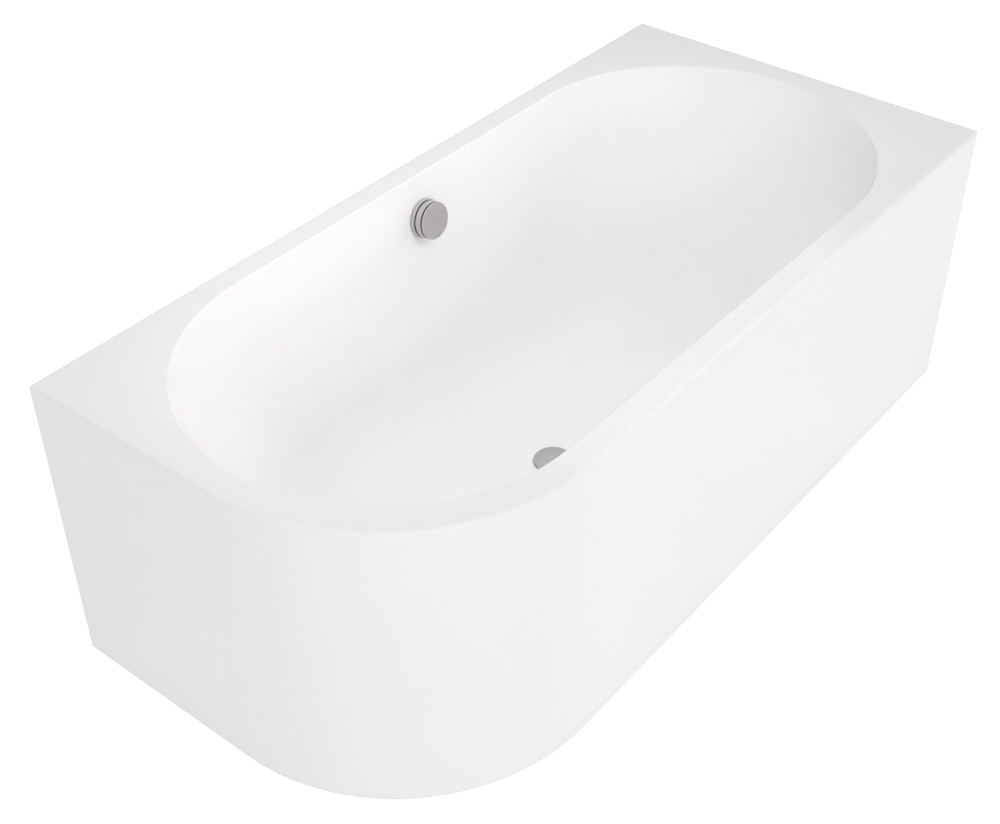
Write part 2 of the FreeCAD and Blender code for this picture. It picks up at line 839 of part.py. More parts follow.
def knob_ring():
    inner = knob_radius - knob_ring_wall
    bore = spindle_radius
    web = ring_front - knob_web
    return at_overflow(spun([(bore, ring_back), (knob_hub_radius, ring_back), (knob_hub_radius, web),
                             (inner, web), (inner, ring_back), (knob_radius, ring_back),
                             (knob_radius, ring_front), (bore, ring_front)]))


def knob_cap():
    neck = knob_radius - knob_groove_depth
    rim = knob_radius - knob_bevel
    return at_overflow(spun([(0, ring_front), (neck, ring_front), (neck, cap_back), (knob_radius, cap_back),
                             (knob_radius, cap_front - knob_bevel), (rim, cap_front), (0, cap_front)]))


def knob_spindle():
    back = cable_box_back + cable_box_wall + running_fit
    return at_overflow(rod(spindle_radius, vec(0, 0, back), vec(0, 0, ring_front)))


def cable_drum():
    half = cable_drum_width / 2.0
    low = drum_middle - half
    high = drum_middle + half
    groove_low = low + cable_drum_rim
    groove_high = high - cable_drum_rim
    return at_overflow(spun([(spindle_radius, low), (cable_drum_flange, low), (cable_drum_flange, groove_low),
                             (cable_drum_radius, groove_low), (cable_drum_radius, groove_high),
                             (cable_drum_flange, groove_high), (cable_drum_flange, high),
                             (spindle_radius, high)]))


def cable_start():
    # Where the cable leaves the drum, straight down on the drum's right side.
    return overflow_frame.multVec(vec(cable_drum_radius, 0, drum_middle))


def cable_box():
    low = vec(0, 0, cable_box_back)
    high = vec(0, 0, overflow_cup_back)
    start = cable_start()
    gland_end = start - vec(0, 0, cable_box_radius + cable_gland_length)
    case = at_overflow(rod(cable_box_radius, low, high))
    case = case.fuse(rod(cable_radius + cable_gland_wall, gland_end, start))
    cavity = rod(cable_box_radius - cable_box_wall, low + vec(0, 0, cable_box_wall), high)
    case = case.cut(at_overflow(cavity))
    return case.cut(rod(cable_radius + fastener_fit, gland_end, start)).removeSplitter()


def cable_points():
    start = cable_start() - vec(0, 0, cable_box_radius)
    gland = vec(cable_end_x, lever_gland_start + cable_straight, cable_low)
    low = vec(cable_end_x, start.y, cable_low)
    easing = start - vec(0, 0, cable_straight)
    return [start, easing, low, gland - vec(0, cable_straight, 0)]


def rounded_path(points, radii):
    # Straight runs joined by tangent arcs.
    edges = []
    last = points[0]
    for before, corner, after, radius in zip(points, points[1:], points[2:], radii):
        back = (before - corner).normalize()
        ahead = (after - corner).normalize()
        turn = math.pi - back.getAngle(ahead)
        reach = radius * math.tan(turn / 2.0)
        start = corner + back * reach
        end = corner + ahead * reach
        middle = (back + ahead).normalize()
        inner = corner + middle * (radius / math.cos(turn / 2.0) - radius)
        edges.append(Part.LineSegment(last, start).toShape())
        edges.append(Part.Arc(start, inner, end).toShape())
        last = end
    edges.append(Part.LineSegment(last, points[-1]).toShape())
    return Part.Wire(edges)


def swept(path, radius):
    start = path.Edges[0].Vertexes[0].Point
    heading = path.Edges[0].tangentAt(path.Edges[0].FirstParameter)
    circle = Part.Wire([Part.makeCircle(radius, start, heading)])
    return path.makePipeShell([circle], True, False)


def bowden_cable():
    return swept(rounded_path(cable_points(), (cable_easing_radius, cable_bend_radius)), cable_radius)


def cable_clips():
    start, easing, low, gland = cable_points()
    clips = []
    for share in clip_places:
        middle = easing + (low - easing) * share
        base = vec(middle.x, middle.y, middle.z - clip_height / 2.0)
        rise = vec(0, 0, clip_height)
        axis = vec(overflow_place, socket_y, base.z)
        arm = axis - base
        arm.z = 0
        across = vec(-arm.y, arm.x, 0).normalize() * (clip_wall / 2.0)
        corners = [base + across, axis + across, axis - across, base - across]
        bar = Part.Face(Part.makePolygon(corners + corners[:1])).extrude(rise)
        clip = bar.fuse([rod(pipe_radius + clip_wall, axis, axis + rise),
                         rod(cable_radius + clip_wall, base, base + rise)])
        clip = clip.cut(rod(pipe_radius + fastener_fit, axis, axis + rise))
        hold = (low - easing).normalize() * clip_height
        clip = clip.cut(rod(cable_radius + fastener_fit, middle - hold, middle + hold))
        clips.append(clip.removeSplitter())
    return group(clips)


def overflow_pipe():
    top = vec(overflow_place, socket_y, socket_end + pipe_insertion)
    corner = vec(overflow_place, socket_y, inlet_height)
    end = vec(overflow_place, inlet_end - pipe_insertion, inlet_height)
    path = rounded_path([top, corner, end], (pipe_bend_radius,))
    return swept(path, pipe_radius).cut(swept(path, pipe_radius - pipe_wall))


def slip_joint_frames():
    # Socket ends of the two slip joints, with Z pointing out of the socket.
    down = FreeCAD.Rotation(vec(0, 0, 1), vec(0, 0, -1))
    back = FreeCAD.Rotation(vec(0, 0, 1), vec(0, 1, 0))
    return [FreeCAD.Placement(vec(overflow_place, socket_y, socket_end), down),
            FreeCAD.Placement(vec(overflow_place, inlet_end, inlet_height), back)]


def fluted(solid, radius, low, high, count):
    # Grip flutes along the outside of a turned piece.
    flutes = []
    for k in range(count):
        turn = FreeCAD.Rotation(vec(0, 0, 1), 360.0 * k / count)
        start = turn.multVec(vec(radius + flute_radius - flute_depth, 0, low))
        flutes.append(rod(flute_radius, start, start + vec(0, 0, high - low)))
    return solid.cut(flutes)


def pipe_nuts():
    thread = socket_radius + running_fit
    top = slip_seal + slip_nut_lip
    low = top - slip_nut_length
    nut = spun([(thread, low), (slip_nut_radius, low), (slip_nut_radius, top),
                (socket_bore, top), (socket_bore, slip_seal), (thread, slip_seal)])
    nut = fluted(nut, slip_nut_radius, low, top - slip_nut_lip, slip_nut_flutes)
    return group([moved(nut, frame) for frame in slip_joint_frames()])


def pipe_seals():
    seal = tube(socket_radius, socket_bore, vec(0, 0, 0), vec(0, 0, slip_seal))
    return group([moved(seal, frame) for frame in slip_joint_frames()])


def waste_gasket_upper():
    top = floor_height - waste_flange_thickness
    return tube(waste_flange_radius, drain_hole_radius, vec(0, 0, recess_floor), vec(0, 0, top))


def waste_gasket_lower():
    return tube(body_flange_radius, drain_hole_radius, vec(0, 0, body_top), vec(0, 0, recess_under))


def waste_flange():
    under = floor_height - waste_flange_thickness
    flange = spun([(waste_bore, waste_neck_end), (waste_neck_radius, waste_neck_end),
                   (waste_neck_radius, under), (waste_flange_radius, under),
                   (waste_flange_radius, floor_height), (waste_bore, floor_height)])
    low = vec(0, 0, waste_neck_end)
    high = low + vec(0, 0, spider_height)
    spokes = [rod(spider_hub_radius, low, high)]
    reach = (waste_bore + waste_neck_radius) / 2.0
    spoke = box(low - vec(0, spider_spoke / 2.0, 0), high + vec(reach, spider_spoke / 2.0, 0))
    for k in range(spider_spokes):
        turn = FreeCAD.Rotation(vec(0, 0, 1), 360.0 * k / spider_spokes)
        spokes.append(moved(spoke, FreeCAD.Placement(vec(0, 0, 0), turn)))
    return flange.fuse(spokes).cut(rod(stem_radius + running_fit, low, high)).removeSplitter()


def waste_body():
    neck_bore = waste_neck_radius + running_fit
    ceiling = vec(0, 0, trap_ceiling)
    roof = vec(0, 0, trap_roof)
    top = vec(0, 0, body_top)
    rim = vec(0, 0, trap_rim)
    inlet_start = vec(overflow_place, 0, inlet_height)
    inlet_stop = inlet_start + vec(0, inlet_end - pipe_insertion, 0)
    inlet_mouth = inlet_start + vec(0, inlet_end, 0)
    outlet_start = vec(0, 0, inlet_height)
    outlet_mouth = outlet_start - vec(outlet_reach, 0, 0)
    axis = vec(0, rocker_y, rocker_height)
    half = lever_box_half
    lever_pad = box(axis + vec(trap_bore / 2.0, -half, -half), axis + vec(lever_face, half, half))
    body = rod(trap_radius, rim, roof)
    collar_end = outlet_start - vec(trap_radius + outlet_collar_reach, 0, 0)
    body = body.fuse([rod(neck_bore + body_neck_wall, roof, top),
                      rod(outlet_radius + outlet_collar, outlet_start, collar_end),
                      rod(body_flange_radius, top - vec(0, 0, body_flange_thickness), top),
                      rod(socket_radius, inlet_start, inlet_mouth),
                      rod(outlet_radius, outlet_start, outlet_mouth), lever_pad])
    body = body.cut([rod(trap_bore, rim, ceiling), rod(neck_bore, ceiling, top)])
    body = body.cut([rod(socket_bore, inlet_stop, inlet_mouth),
                     rod(pipe_radius - pipe_wall, inlet_start, inlet_stop)])
    body = body.cut(rod(outlet_radius - outlet_wall, outlet_start, outlet_mouth))
    body = body.cut(rod(rocker_shaft_radius + running_fit, axis, axis + vec(lever_face, 0, 0)))
    wall_x = -waste_neck_radius - trap_partition_gap
    partition = box(vec(wall_x - trap_wall, -trap_radius, trap_rim + trap_partition_clear),
                    vec(wall_x, trap_radius, trap_roof))
    return body.fuse(partition.common(rod(trap_radius, rim, roof))).removeSplitter()


def trap_cap():
    inner = trap_radius + running_fit
    outer = inner + trap_cap_wall
    top = trap_ground_gap + trap_cap_height
    cap = spun([(0, trap_ground_gap), (outer, trap_ground_gap), (outer, top), (inner, top),
                (inner, trap_cap_inside), (0, trap_cap_inside)])
    return fluted(cap, outer, trap_cap_inside, top, trap_cap_flutes)


def trap_seal():
    return tube(trap_radius, trap_bore, vec(0, 0, trap_cap_inside), vec(0, 0, trap_rim))


def plug_cover():
    crown = plug_under + plug_cover_edge + plug_cover_dome
    dome_radius = (plug_cover_radius ** 2 + plug_cover_dome ** 2) / (2.0 * plug_cover_dome)
    disc = rod(plug_cover_radius, vec(0, 0, plug_under), vec(0, 0, crown))
    return disc.common(Part.makeSphere(dome_radius, vec(0, 0, crown - dome_radius)))


def plug_stem():
    disc_low = plug_under - plug_disc_depth
    stem = rod(stem_radius, vec(0, 0, stem_end + stem_radius), vec(0, 0, disc_low))
    tip = Part.makeSphere(stem_radius, vec(0, 0, stem_end + stem_radius))
    disc = rod(plug_disc_radius, vec(0, 0, disc_low), vec(0, 0, plug_under))
    return stem.fuse([tip, disc]).removeSplitter()


def plug_seal():
    middle = plug_under - plug_disc_depth / 2.0
    half = plug_seal_height / 2.0
    return tube(waste_bore - plug_seal_gap, plug_disc_radius,
                vec(0, 0, middle - half), vec(0, 0, middle + half))


def rocker_shaft():
    start = vec(-rocker_finger_width / 2.0, rocker_y, rocker_height)
    return rod(rocker_shaft_radius, start, vec(lever_drum_end, rocker_y, rocker_height))


def rocker_finger():
    half = rocker_finger_width / 2.0
    axis = vec(-half, rocker_y, rocker_height)
    along = vec(rocker_finger_width, 0, 0)
    reach = vec(0, math.cos(rocker_half_swing), -math.sin(rocker_half_swing)) * rocker_arm
    across = vec(0, math.sin(rocker_half_swing), math.cos(rocker_half_swing)) * (rocker_arm_thickness / 2.0)
    corners = [axis + across, axis + reach + across, axis + reach - across, axis - across]
    arm = Part.Face(Part.makePolygon(corners + corners[:1])).extrude(along)
    hub = rod(rocker_hub_radius, axis, axis + along)
    tip = rod(rocker_tip_radius, axis + reach, axis + reach + along)
    return arm.fuse([hub, tip]).cut(rod(rocker_shaft_radius, axis, axis + along)).removeSplitter()


def rocker_drum():
    start = vec(lever_drum_start, rocker_y, rocker_height)
    width = vec(lever_drum_width, 0, 0)
    rim = vec(cable_drum_rim, 0, 0)
    drum = rod(lever_drum_radius, start, start + width)
    drum = drum.fuse([rod(lever_drum_flange, start, start + rim),
                      rod(lever_drum_flange, start + width - rim, start + width)])
    return drum.cut(rod(rocker_shaft_radius, start, start + width)).removeSplitter()


def lever_housing():
    half = lever_box_half
    inner = half - lever_box_wall
    case = box(vec(lever_face, rocker_y - half, rocker_height - half),
               vec(lever_box_end, rocker_y + half, rocker_height + half))
    gland = vec(cable_end_x, lever_gland_start, cable_low)
    gland_end = gland + vec(0, lever_gland_length, 0)
    case = case.fuse(rod(cable_radius + cable_gland_wall, gland, gland_end))
    case = case.cut(box(vec(lever_face, rocker_y - inner, rocker_height - inner),
                        vec(lever_cavity_end, rocker_y + inner, rocker_height + inner)))
    bore_start = gland - vec(0, lever_box_wall, 0)
    return case.cut(rod(cable_radius + fastener_fit, bore_start, gland_end)).removeSplitter()


def build():
    pieces = {
        "tub_shell": tub_shell(),
        "apron": apron(),
        "base_board": base_board(),
        "rim_batten_back": rim_batten_back(),
        "rim_batten_front": rim_batten_front(),
        "rim_batten_left": rim_batten_left(),
        "rim_batten_right": rim_batten_right(),
        "leg_rail_left": leg_rail(-1),
        "leg_rail_right": leg_rail(1),
        "rail_end_caps": rail_end_caps(),
        "rail_screws": rail_screws(),
        "foot_weld_nuts": foot_nuts(rail_under, weld_nut_height),
        "foot_lock_nuts": foot_nuts(rail_under - weld_nut_height, lock_nut_height),
        "apron_struts_front": apron_struts_front(),
        "apron_strut_left": apron_strut_left(),
        "apron_blocks": apron_blocks(),
        "strut_screws": strut_screws(),
        "strut_bolts": strut_bolts(),
        "wall_angles": wall_angles(),
        "wall_angle_screws": wall_angle_screws(),
        "overflow_seal_front": overflow_seal_front(),
        "overflow_rosette": overflow_rosette(),
        "overflow_seal_back": overflow_seal_back(),
        "overflow_body": overflow_body(),
        "overflow_screws": overflow_screws(),
        "knob_ring": knob_ring(),
        "knob_cap": knob_cap(),
        "knob_spindle": knob_spindle(),
        "cable_drum": cable_drum(),
        "cable_box": cable_box(),
        "bowden_cable": bowden_cable(),
        "cable_clips": cable_clips(),
        "overflow_pipe": overflow_pipe(),
        "pipe_nuts": pipe_nuts(),
        "pipe_seals": pipe_seals(),
        "waste_flange": waste_flange(),
        "waste_gasket_upper": waste_gasket_upper(),
        "waste_gasket_lower": waste_gasket_lower(),
        "waste_body": waste_body(),
        "trap_cap": trap_cap(),
        "trap_seal": trap_seal(),
        "plug_cover": plug_cover(),
        "plug_stem": plug_stem(),
        "plug_seal": plug_seal(),
        "rocker_shaft": rocker_shaft(),
        "rocker_finger": rocker_finger(),
        "rocker_drum": rocker_drum(),
        "lever_housing": lever_housing(),
    }
    for corner, place in foot_places().items():
        pieces["foot_stud_" + corner] = foot_stud(place)
        pieces["foot_pad_" + corner] = foot_pad(place)
    return pieces


os.makedirs("parts", exist_ok=True)
for name, shape in build().items():
    shape.exportStep("parts/" + name + ".step")
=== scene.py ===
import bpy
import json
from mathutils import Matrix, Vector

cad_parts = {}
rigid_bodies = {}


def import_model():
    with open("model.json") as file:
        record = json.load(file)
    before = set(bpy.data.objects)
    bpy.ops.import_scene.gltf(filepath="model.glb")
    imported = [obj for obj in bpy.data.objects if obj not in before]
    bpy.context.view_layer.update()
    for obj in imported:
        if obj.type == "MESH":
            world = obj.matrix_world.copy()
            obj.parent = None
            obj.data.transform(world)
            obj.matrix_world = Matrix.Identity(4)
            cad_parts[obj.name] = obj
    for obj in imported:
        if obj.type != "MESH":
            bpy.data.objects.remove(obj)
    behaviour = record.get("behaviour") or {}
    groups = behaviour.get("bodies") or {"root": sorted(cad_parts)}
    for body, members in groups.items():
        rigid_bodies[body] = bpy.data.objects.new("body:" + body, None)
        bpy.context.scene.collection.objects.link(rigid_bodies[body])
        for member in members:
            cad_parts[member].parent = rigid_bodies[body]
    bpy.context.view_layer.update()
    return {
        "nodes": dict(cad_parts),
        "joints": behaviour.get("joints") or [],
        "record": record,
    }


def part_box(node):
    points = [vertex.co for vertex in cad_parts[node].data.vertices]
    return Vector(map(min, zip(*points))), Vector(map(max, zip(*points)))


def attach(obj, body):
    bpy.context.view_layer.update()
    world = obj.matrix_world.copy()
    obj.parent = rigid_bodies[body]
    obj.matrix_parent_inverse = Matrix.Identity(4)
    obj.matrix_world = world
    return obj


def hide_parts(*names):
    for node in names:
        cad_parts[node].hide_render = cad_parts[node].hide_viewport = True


bl_info = {
    "name": "Corner Bath Builder",
    "version": (1, 0, 0),
    "blender": (4, 5, 0),
    "location": "View3D > Sidebar > Bath",
    "description": "Dresses the corner bath's frame with its shell, fittings, finishes and studio",
    "category": "Object",
}

import collections
import json
import math

import bpy
from bpy.props import FloatProperty, FloatVectorProperty, PointerProperty
from mathutils import Matrix, Vector

for leftover in list(bpy.data.objects):
    bpy.data.objects.remove(leftover)

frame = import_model()
SLOT_OF = {part["node"]: part["material_slot"] for part in frame["record"]["subparts"]}
JOINTS = {joint["name"]: joint for joint in frame["joints"]}


def length(name, description, default):
    return FloatProperty(name=name, description=description, default=default, unit="LENGTH")


def angle(name, description, degrees):
    return FloatProperty(name=name, description=description, default=math.radians(degrees), subtype="ANGLE")


def colour(name, description, default):
    return FloatVectorProperty(name=name, description=description, default=default, size=3, subtype="COLOR",
                               min=0.0, max=1.0)


def factor(name, description, default):
    return FloatProperty(name=name, description=description, default=default, min=0.0, max=1.0,
                         subtype="FACTOR")


class BathShellSettings(bpy.types.PropertyGroup):
    """Sizes of the moulded shell."""
    wall: length("Wall", "Thickness of the shell", 0.006)
    corner_radius: length("Corner radius", "Rounded corner at the front left", 0.405)
    rim_front: length("Front rim", "Outer edge to the opening at the front", 0.0528)
    rim_back: length("Back rim", "Outer edge to the opening at the back", 0.0472)
    rim_left: length("Left rim", "Outer edge to the opening at the left end", 0.0525)
    rim_right: length("Right rim", "Outer edge to the opening at the right end", 0.0530)
    side_angle: angle("Side wall angle", "Lean of the basin's long walls", 8.0)
    end_angle: angle("End wall angle", "Lean of the basin's end walls", 22.0)
    floor_height: length("Floor height", "Basin floor above the ground", 0.092)
    floor_radius: length("Floor radius", "Roll between the basin's floor and walls", 0.150)
    lip_radius: length("Lip radius", "Roll from the deck into the basin", 0.0035)
    nose_height: length("Nose height", "Turned-down edge above the apron", 0.012)
    nose_width: length("Nose width", "Thickness of the turned-down edge", 0.014)
    nose_radius: length("Nose radius", "Roll of the front and left edge, seen from above", 0.006)
    nose_drop: length("Nose drop", "Height of that roll", 0.008)
    edge_radius: length("Wall edge radius", "Roll of the edges at the walls", 0.002)
    flange_height: length("Flange height", "Flange that goes against the walls", 0.025)
    recess_radius: length("Drain recess radius", "Sunk seat round the drain", 0.0396)
    recess_depth: length("Drain recess depth", "Depth of the sunk seat", 0.0045)
    drain_radius: length("Drain hole radius", "Hole for the waste", 0.026)
    overflow_radius: length("Overflow hole radius", "Hole for the overflow", 0.026)


class BathFittingSettings(bpy.types.PropertyGroup):
    """Sizes of the turned and threaded fittings."""
    knob_radius: length("Knob radius", "Turned ring and cap of the overflow knob", 0.037)
    knob_bore: length("Knob bore", "Hole for the spindle", 0.004)
    knob_hub: length("Knob hub", "Radius of the ring's hub", 0.009)
    ring_back: length("Ring back", "Back of the knob's ring above the basin wall", 0.0106)
    ring_depth: length("Ring depth", "Depth of the knob's ring at its hub", 0.0139)
    ring_step: length("Ring step", "How far the ring's outer edge lies below its hub", 0.0008)
    ring_wall: length("Ring wall", "Wall of the knob's ring", 0.004)
    ring_web: length("Ring web", "Front web of the knob's ring", 0.003)
    groove: length("Groove", "Gap between the knob's ring and cap", 0.002)
    groove_depth: length("Groove depth", "How far the groove goes in", 0.004)
    cap_depth: length("Cap depth", "Thickness of the knob's cap", 0.0035)
    knob_bevel: length("Knob bevel", "Bevel round the cap's face", 0.001)
    soft_edge: length("Soft edge", "Small roll that finishes a turned edge", 0.0004)
    thread_pitch: length("Thread pitch", "Pitch of the foot studs", 0.00175)
    thread_depth: length("Thread depth", "Depth of the foot studs' thread", 0.0009)


class BathFinishSettings(bpy.types.PropertyGroup):
    """Colours and gloss of the visible finishes."""
    acrylic: colour("Acrylic", "Polished sanitary acrylic", (0.905, 0.902, 0.905))
    acrylic_gloss: factor("Acrylic roughness", "Roughness of the polished face", 0.16)
    backing: colour("Backing", "Glass fibre on the hidden side of the shell", (0.74, 0.71, 0.62))
    chrome: colour("Chrome", "Satin chrome of the knob and plug", (0.56, 0.55, 0.56))
    softwood: colour("Softwood", "Planed battens and blocks", (0.62, 0.44, 0.25))
    zinc: colour("Zinc", "Galvanised rails and struts", (0.55, 0.57, 0.59))


class BathStageSettings(bpy.types.PropertyGroup):
    """Camera and studio."""
    azimuth: angle("Azimuth", "Camera's turn about the vertical", -51.193)
    elevation: angle("Elevation", "Camera's height angle", 38.677)
    roll: angle("Roll", "Camera's tilt", -0.2655)
    camera_place: FloatVectorProperty(name="Camera place", description="Where the camera stands", size=3,
                                      default=(-1.88736, -1.38244, 2.08668), subtype="XYZ_LENGTH")
    lens: FloatProperty(name="Lens", description="Focal length on a 36 mm sensor", default=55.617,
                        unit="CAMERA")
    floor_size: length("Floor size", "Half the width of the studio floor", 9.0)
    tint: colour("Tint", "Colour of the lamps and of the light from all sides", (1.0, 0.975, 1.0))
    ambient: FloatProperty(name="Ambient", description="Light from all sides", default=0.317)
    lamp_level: FloatProperty(name="Lamps", description="Share of the lamps' written power", default=0.975)


class Value:
    """One output of a node tree, usable in Python expressions."""

    def __init__(self, nodes, socket):
        self.nodes = nodes
        self.socket = socket

    def maths(self, operation, first, second=0.0):
        return self.nodes.node("ShaderNodeMath", {0: first, 1: second}, {"operation": operation})

    def __add__(self, other):
        return self.maths("ADD", self, other)

    def __radd__(self, other):
        return self.maths("ADD", other, self)

    def __sub__(self, other):
        return self.maths("SUBTRACT", self, other)

    def __rsub__(self, other):
        return self.maths("SUBTRACT", other, self)

    def __mul__(self, other):
        return self.maths("MULTIPLY", self, other)

    def __rmul__(self, other):
        return self.maths("MULTIPLY", other, self)

    def __truediv__(self, other):
        return self.maths("DIVIDE", self, other)

    def __rtruediv__(self, other):
        return self.maths("DIVIDE", other, self)

    def __pow__(self, other):
        return self.maths("POWER", self, other)

    def __rpow__(self, other):
        return self.maths("POWER", other, self)

    def __lt__(self, other):
        return self.maths("LESS_THAN", self, other)

    def __gt__(self, other):
        return self.maths("GREATER_THAN", self, other)

    def largest(self, other):
        return self.maths("MAXIMUM", self, other)


class Nodes:
    """An empty node tree that is filled node by node."""

    def __init__(self, owner, end_kind):
        owner.use_nodes = True
        self.tree = owner.node_tree
        self.tree.nodes.clear()
        self.end = self.tree.nodes.new(end_kind)

    def node(self, kind, inputs=None, settings=None, output=0):
        made = self.tree.nodes.new(kind)
        for key, value in (settings or {}).items():
            setattr(made, key, value)
        for key, value in (inputs or {}).items():
            self.feed(made.inputs[key], value)
        return Value(self, made.outputs[output])

    def feed(self, socket, value):
        if isinstance(value, Value):
            self.tree.links.new(value.socket, socket)
        elif socket.type == "RGBA":
            socket.default_value = (*value, 1.0)
        else:
            socket.default_value = value

    def show(self, shader):
        self.feed(self.end.inputs["Surface"], shader)

    def seen(self):
        """Factor that is 1 where the camera, a mirror or glass looks, and 0 for light on the object."""
        looks = [self.node("ShaderNodeLightPath", output="Is %s Ray" % kind)
                 for kind in ("Camera", "Glossy", "Transmission")]
        return looks[0].largest(looks[1]).largest(looks[2])


class Finish(Nodes):
    """A material under construction: a Principled shader and the nodes that feed it."""

    def __init__(self, name, base, metallic=0.0):
        self.material = bpy.data.materials.new(name)
        super().__init__(self.material, "ShaderNodeOutputMaterial")
        self.surface = self.node("ShaderNodeBsdfPrincipled")
        self.show(self.surface)
        self.base = tuple(base)
        self.set("Base Color", self.base)
        self.set("Metallic", metallic)

    def set(self, name, value):
        self.feed(self.surface.socket.node.inputs[name], value)

    def place(self, stretch=(1.0, 1.0, 1.0)):
        own = self.node("ShaderNodeTexCoord", output="Object")
        return self.node("ShaderNodeMapping", {"Vector": own, "Scale": stretch})

    def parts(self, vector):
        split = self.node("ShaderNodeSeparateXYZ", {0: vector}).socket.node
        return [Value(self, out) for out in split.outputs]

    def vector(self, operation, first, second=(0.0, 0.0, 0.0), output="Vector"):
        return self.node("ShaderNodeVectorMath", {0: first, 1: second}, {"operation": operation}, output)

    def noise(self, place, scale, detail=2.0):
        return self.node("ShaderNodeTexNoise", {"Vector": place, "Scale": scale, "Detail": detail})

    def cells(self, place, scale):
        """Cells that have one random shade each."""
        shade = self.node("ShaderNodeTexVoronoi", {"Vector": place, "Scale": scale}, output="Color")
        return self.parts(shade)[0]

    def mix(self, share, first, second):
        # A Mix node takes its colours at sockets 6 and 7 and gives the mixed one at socket 2.
        return self.node("ShaderNodeMix", {0: share, 6: first, 7: second}, {"data_type": "RGBA"}, 2)

    def shades(self, share, dark, light):
        """Base colour that runs from dark to light times the written colour."""
        self.set("Base Color", self.mix(share, tone(self.base, dark), tone(self.base, light)))

    def gloss(self, share, smooth, rough, dulled=None):
        """Roughness that runs from smooth to rough, with more where the surface is dulled."""
        roughness = share * (rough - smooth) + smooth
        self.set("Roughness", roughness if dulled is None else roughness + dulled)

    def bump(self, height, depth, strength):
        self.set("Normal", self.node("ShaderNodeBump",
                                     {"Strength": strength, "Distance": depth, "Height": height}))


def tone(base, share):
    return tuple(min(channel * share, 1.0) for channel in base)


NOISE_MIDDLE = 0.5
ACRYLIC_IOR = 1.49
ACRYLIC_DARK = 0.992
ACRYLIC_LIGHT = 1.004
DRIFT_SCALE = 2.5
FLOW_SCALE = 30.0
PEEL_SCALE = 90.0
GLOSS_SPREAD = 0.03


def acrylic():
    """Polished acrylic: a slow drift of its white, a change of gloss and a trace of waves."""
    look = bpy.context.scene.bath_finish
    finish = Finish("white_acrylic", look.acrylic)
    place = finish.place()
    finish.shades(finish.noise(place, DRIFT_SCALE), ACRYLIC_DARK, ACRYLIC_LIGHT)
    finish.gloss(finish.noise(place, FLOW_SCALE, detail=4.0), smooth=look.acrylic_gloss - GLOSS_SPREAD,
                 rough=look.acrylic_gloss + GLOSS_SPREAD)
    finish.bump(finish.noise(place, PEEL_SCALE), depth=0.0003, strength=0.05)
    finish.set("IOR", ACRYLIC_IOR)
    return finish.material


STRAND_SIZE = (0.05, 0.0028, 0.0028)
STRAND_TURNS = ((0.0, 0.3, 0.0), (0.0, 1.2, 0.3), (0.0, 2.2, -0.3), (0.0, 0.6, 1.4), (0.0, 2.6, 1.7),
                (0.2, 0.1, 0.8))
STRAND_CONTRAST = 2.4
HIDDEN_SIDE = -0.05


def strands(finish):
    """Chopped glass strands: thin streaks that lie in many directions."""
    place = finish.place()
    total = None
    for turn in STRAND_TURNS:
        laid = finish.node("ShaderNodeMapping", {"Vector": place, "Rotation": turn, "Scale": STRAND_SIZE},
                           {"vector_type": "TEXTURE"})
        streak = finish.noise(laid, scale=1.0, detail=1.0)
        total = streak if total is None else total.largest(streak)
    return total


def glass_backing():
    """Rough glass fibre with resin clouds on the hidden side of the shell."""
    look = bpy.context.scene.bath_finish
    finish = Finish("glass_backing", look.backing)
    fibre = strands(finish)
    cloud = finish.noise(finish.place(), scale=7.0, detail=3.0)
    streaks = (fibre - NOISE_MIDDLE) * STRAND_CONTRAST
    finish.shades(streaks + (cloud - NOISE_MIDDLE) * 0.6, dark=0.80, light=1.15)
    finish.gloss(cloud, smooth=0.34, rough=0.64)
    finish.bump(fibre + cloud * 0.8, depth=0.0012, strength=0.6)
    return finish.material


def apron_acrylic():
    """Polished on the outside, glass fibre on the side that faces the frame."""
    look = bpy.context.scene.bath_finish
    finish = Finish("apron_acrylic", look.acrylic)
    spot = finish.node("ShaderNodeNewGeometry", output="Position")
    facing = finish.node("ShaderNodeNewGeometry", output="Normal")
    from_middle = finish.vector("MULTIPLY", spot, (1.0, 1.0, 0.0))
    hidden = finish.vector("DOT_PRODUCT", from_middle, facing, "Value") < HIDDEN_SIDE
    place = finish.place()
    polished = finish.mix(finish.noise(place, DRIFT_SCALE), tone(finish.base, ACRYLIC_DARK),
                          tone(finish.base, ACRYLIC_LIGHT))
    fibre = strands(finish)
    streaks = (fibre - NOISE_MIDDLE) * STRAND_CONTRAST
    backing = finish.mix(streaks, tone(look.backing, 0.8), tone(look.backing, 1.12))
    finish.set("Base Color", finish.mix(hidden, polished, backing))
    finish.gloss(finish.noise(place, FLOW_SCALE, detail=4.0), smooth=look.acrylic_gloss,
                 rough=look.acrylic_gloss + GLOSS_SPREAD, dulled=hidden * 0.34)
    finish.bump(hidden * fibre + finish.noise(place, PEEL_SCALE) * 0.02, depth=0.0010, strength=0.5)
    finish.set("IOR", ACRYLIC_IOR)
    return finish.material


def turned_chrome(name, share):
    """Plated metal with fine rings from the lathe round the piece's own Z axis."""
    look = bpy.context.scene.bath_finish
    finish = Finish(name, tone(look.chrome, share), metallic=1.0)
    x, y, z = finish.parts(finish.place())
    radius = (x * x + y * y) ** 0.5
    line = finish.node("ShaderNodeCombineXYZ", {0: radius, 1: z})
    rings = finish.noise(line, scale=2600.0)
    broad = finish.noise(line, scale=260.0, detail=1.0)
    finish.shades(rings * 0.6 + broad * 0.4, dark=0.93, light=1.07)
    finish.gloss(rings, smooth=0.20, rough=0.32)
    finish.bump(rings, depth=0.00003, strength=0.35)
    return finish.material


def satin_chrome():
    return turned_chrome("satin_chrome", share=1.0)


# A darker copy of the satin chrome: painted shade that dims the plug's cover on the basin floor.
def shaded_plug_chrome():
    return turned_chrome("shaded_plug_chrome", share=0.87)
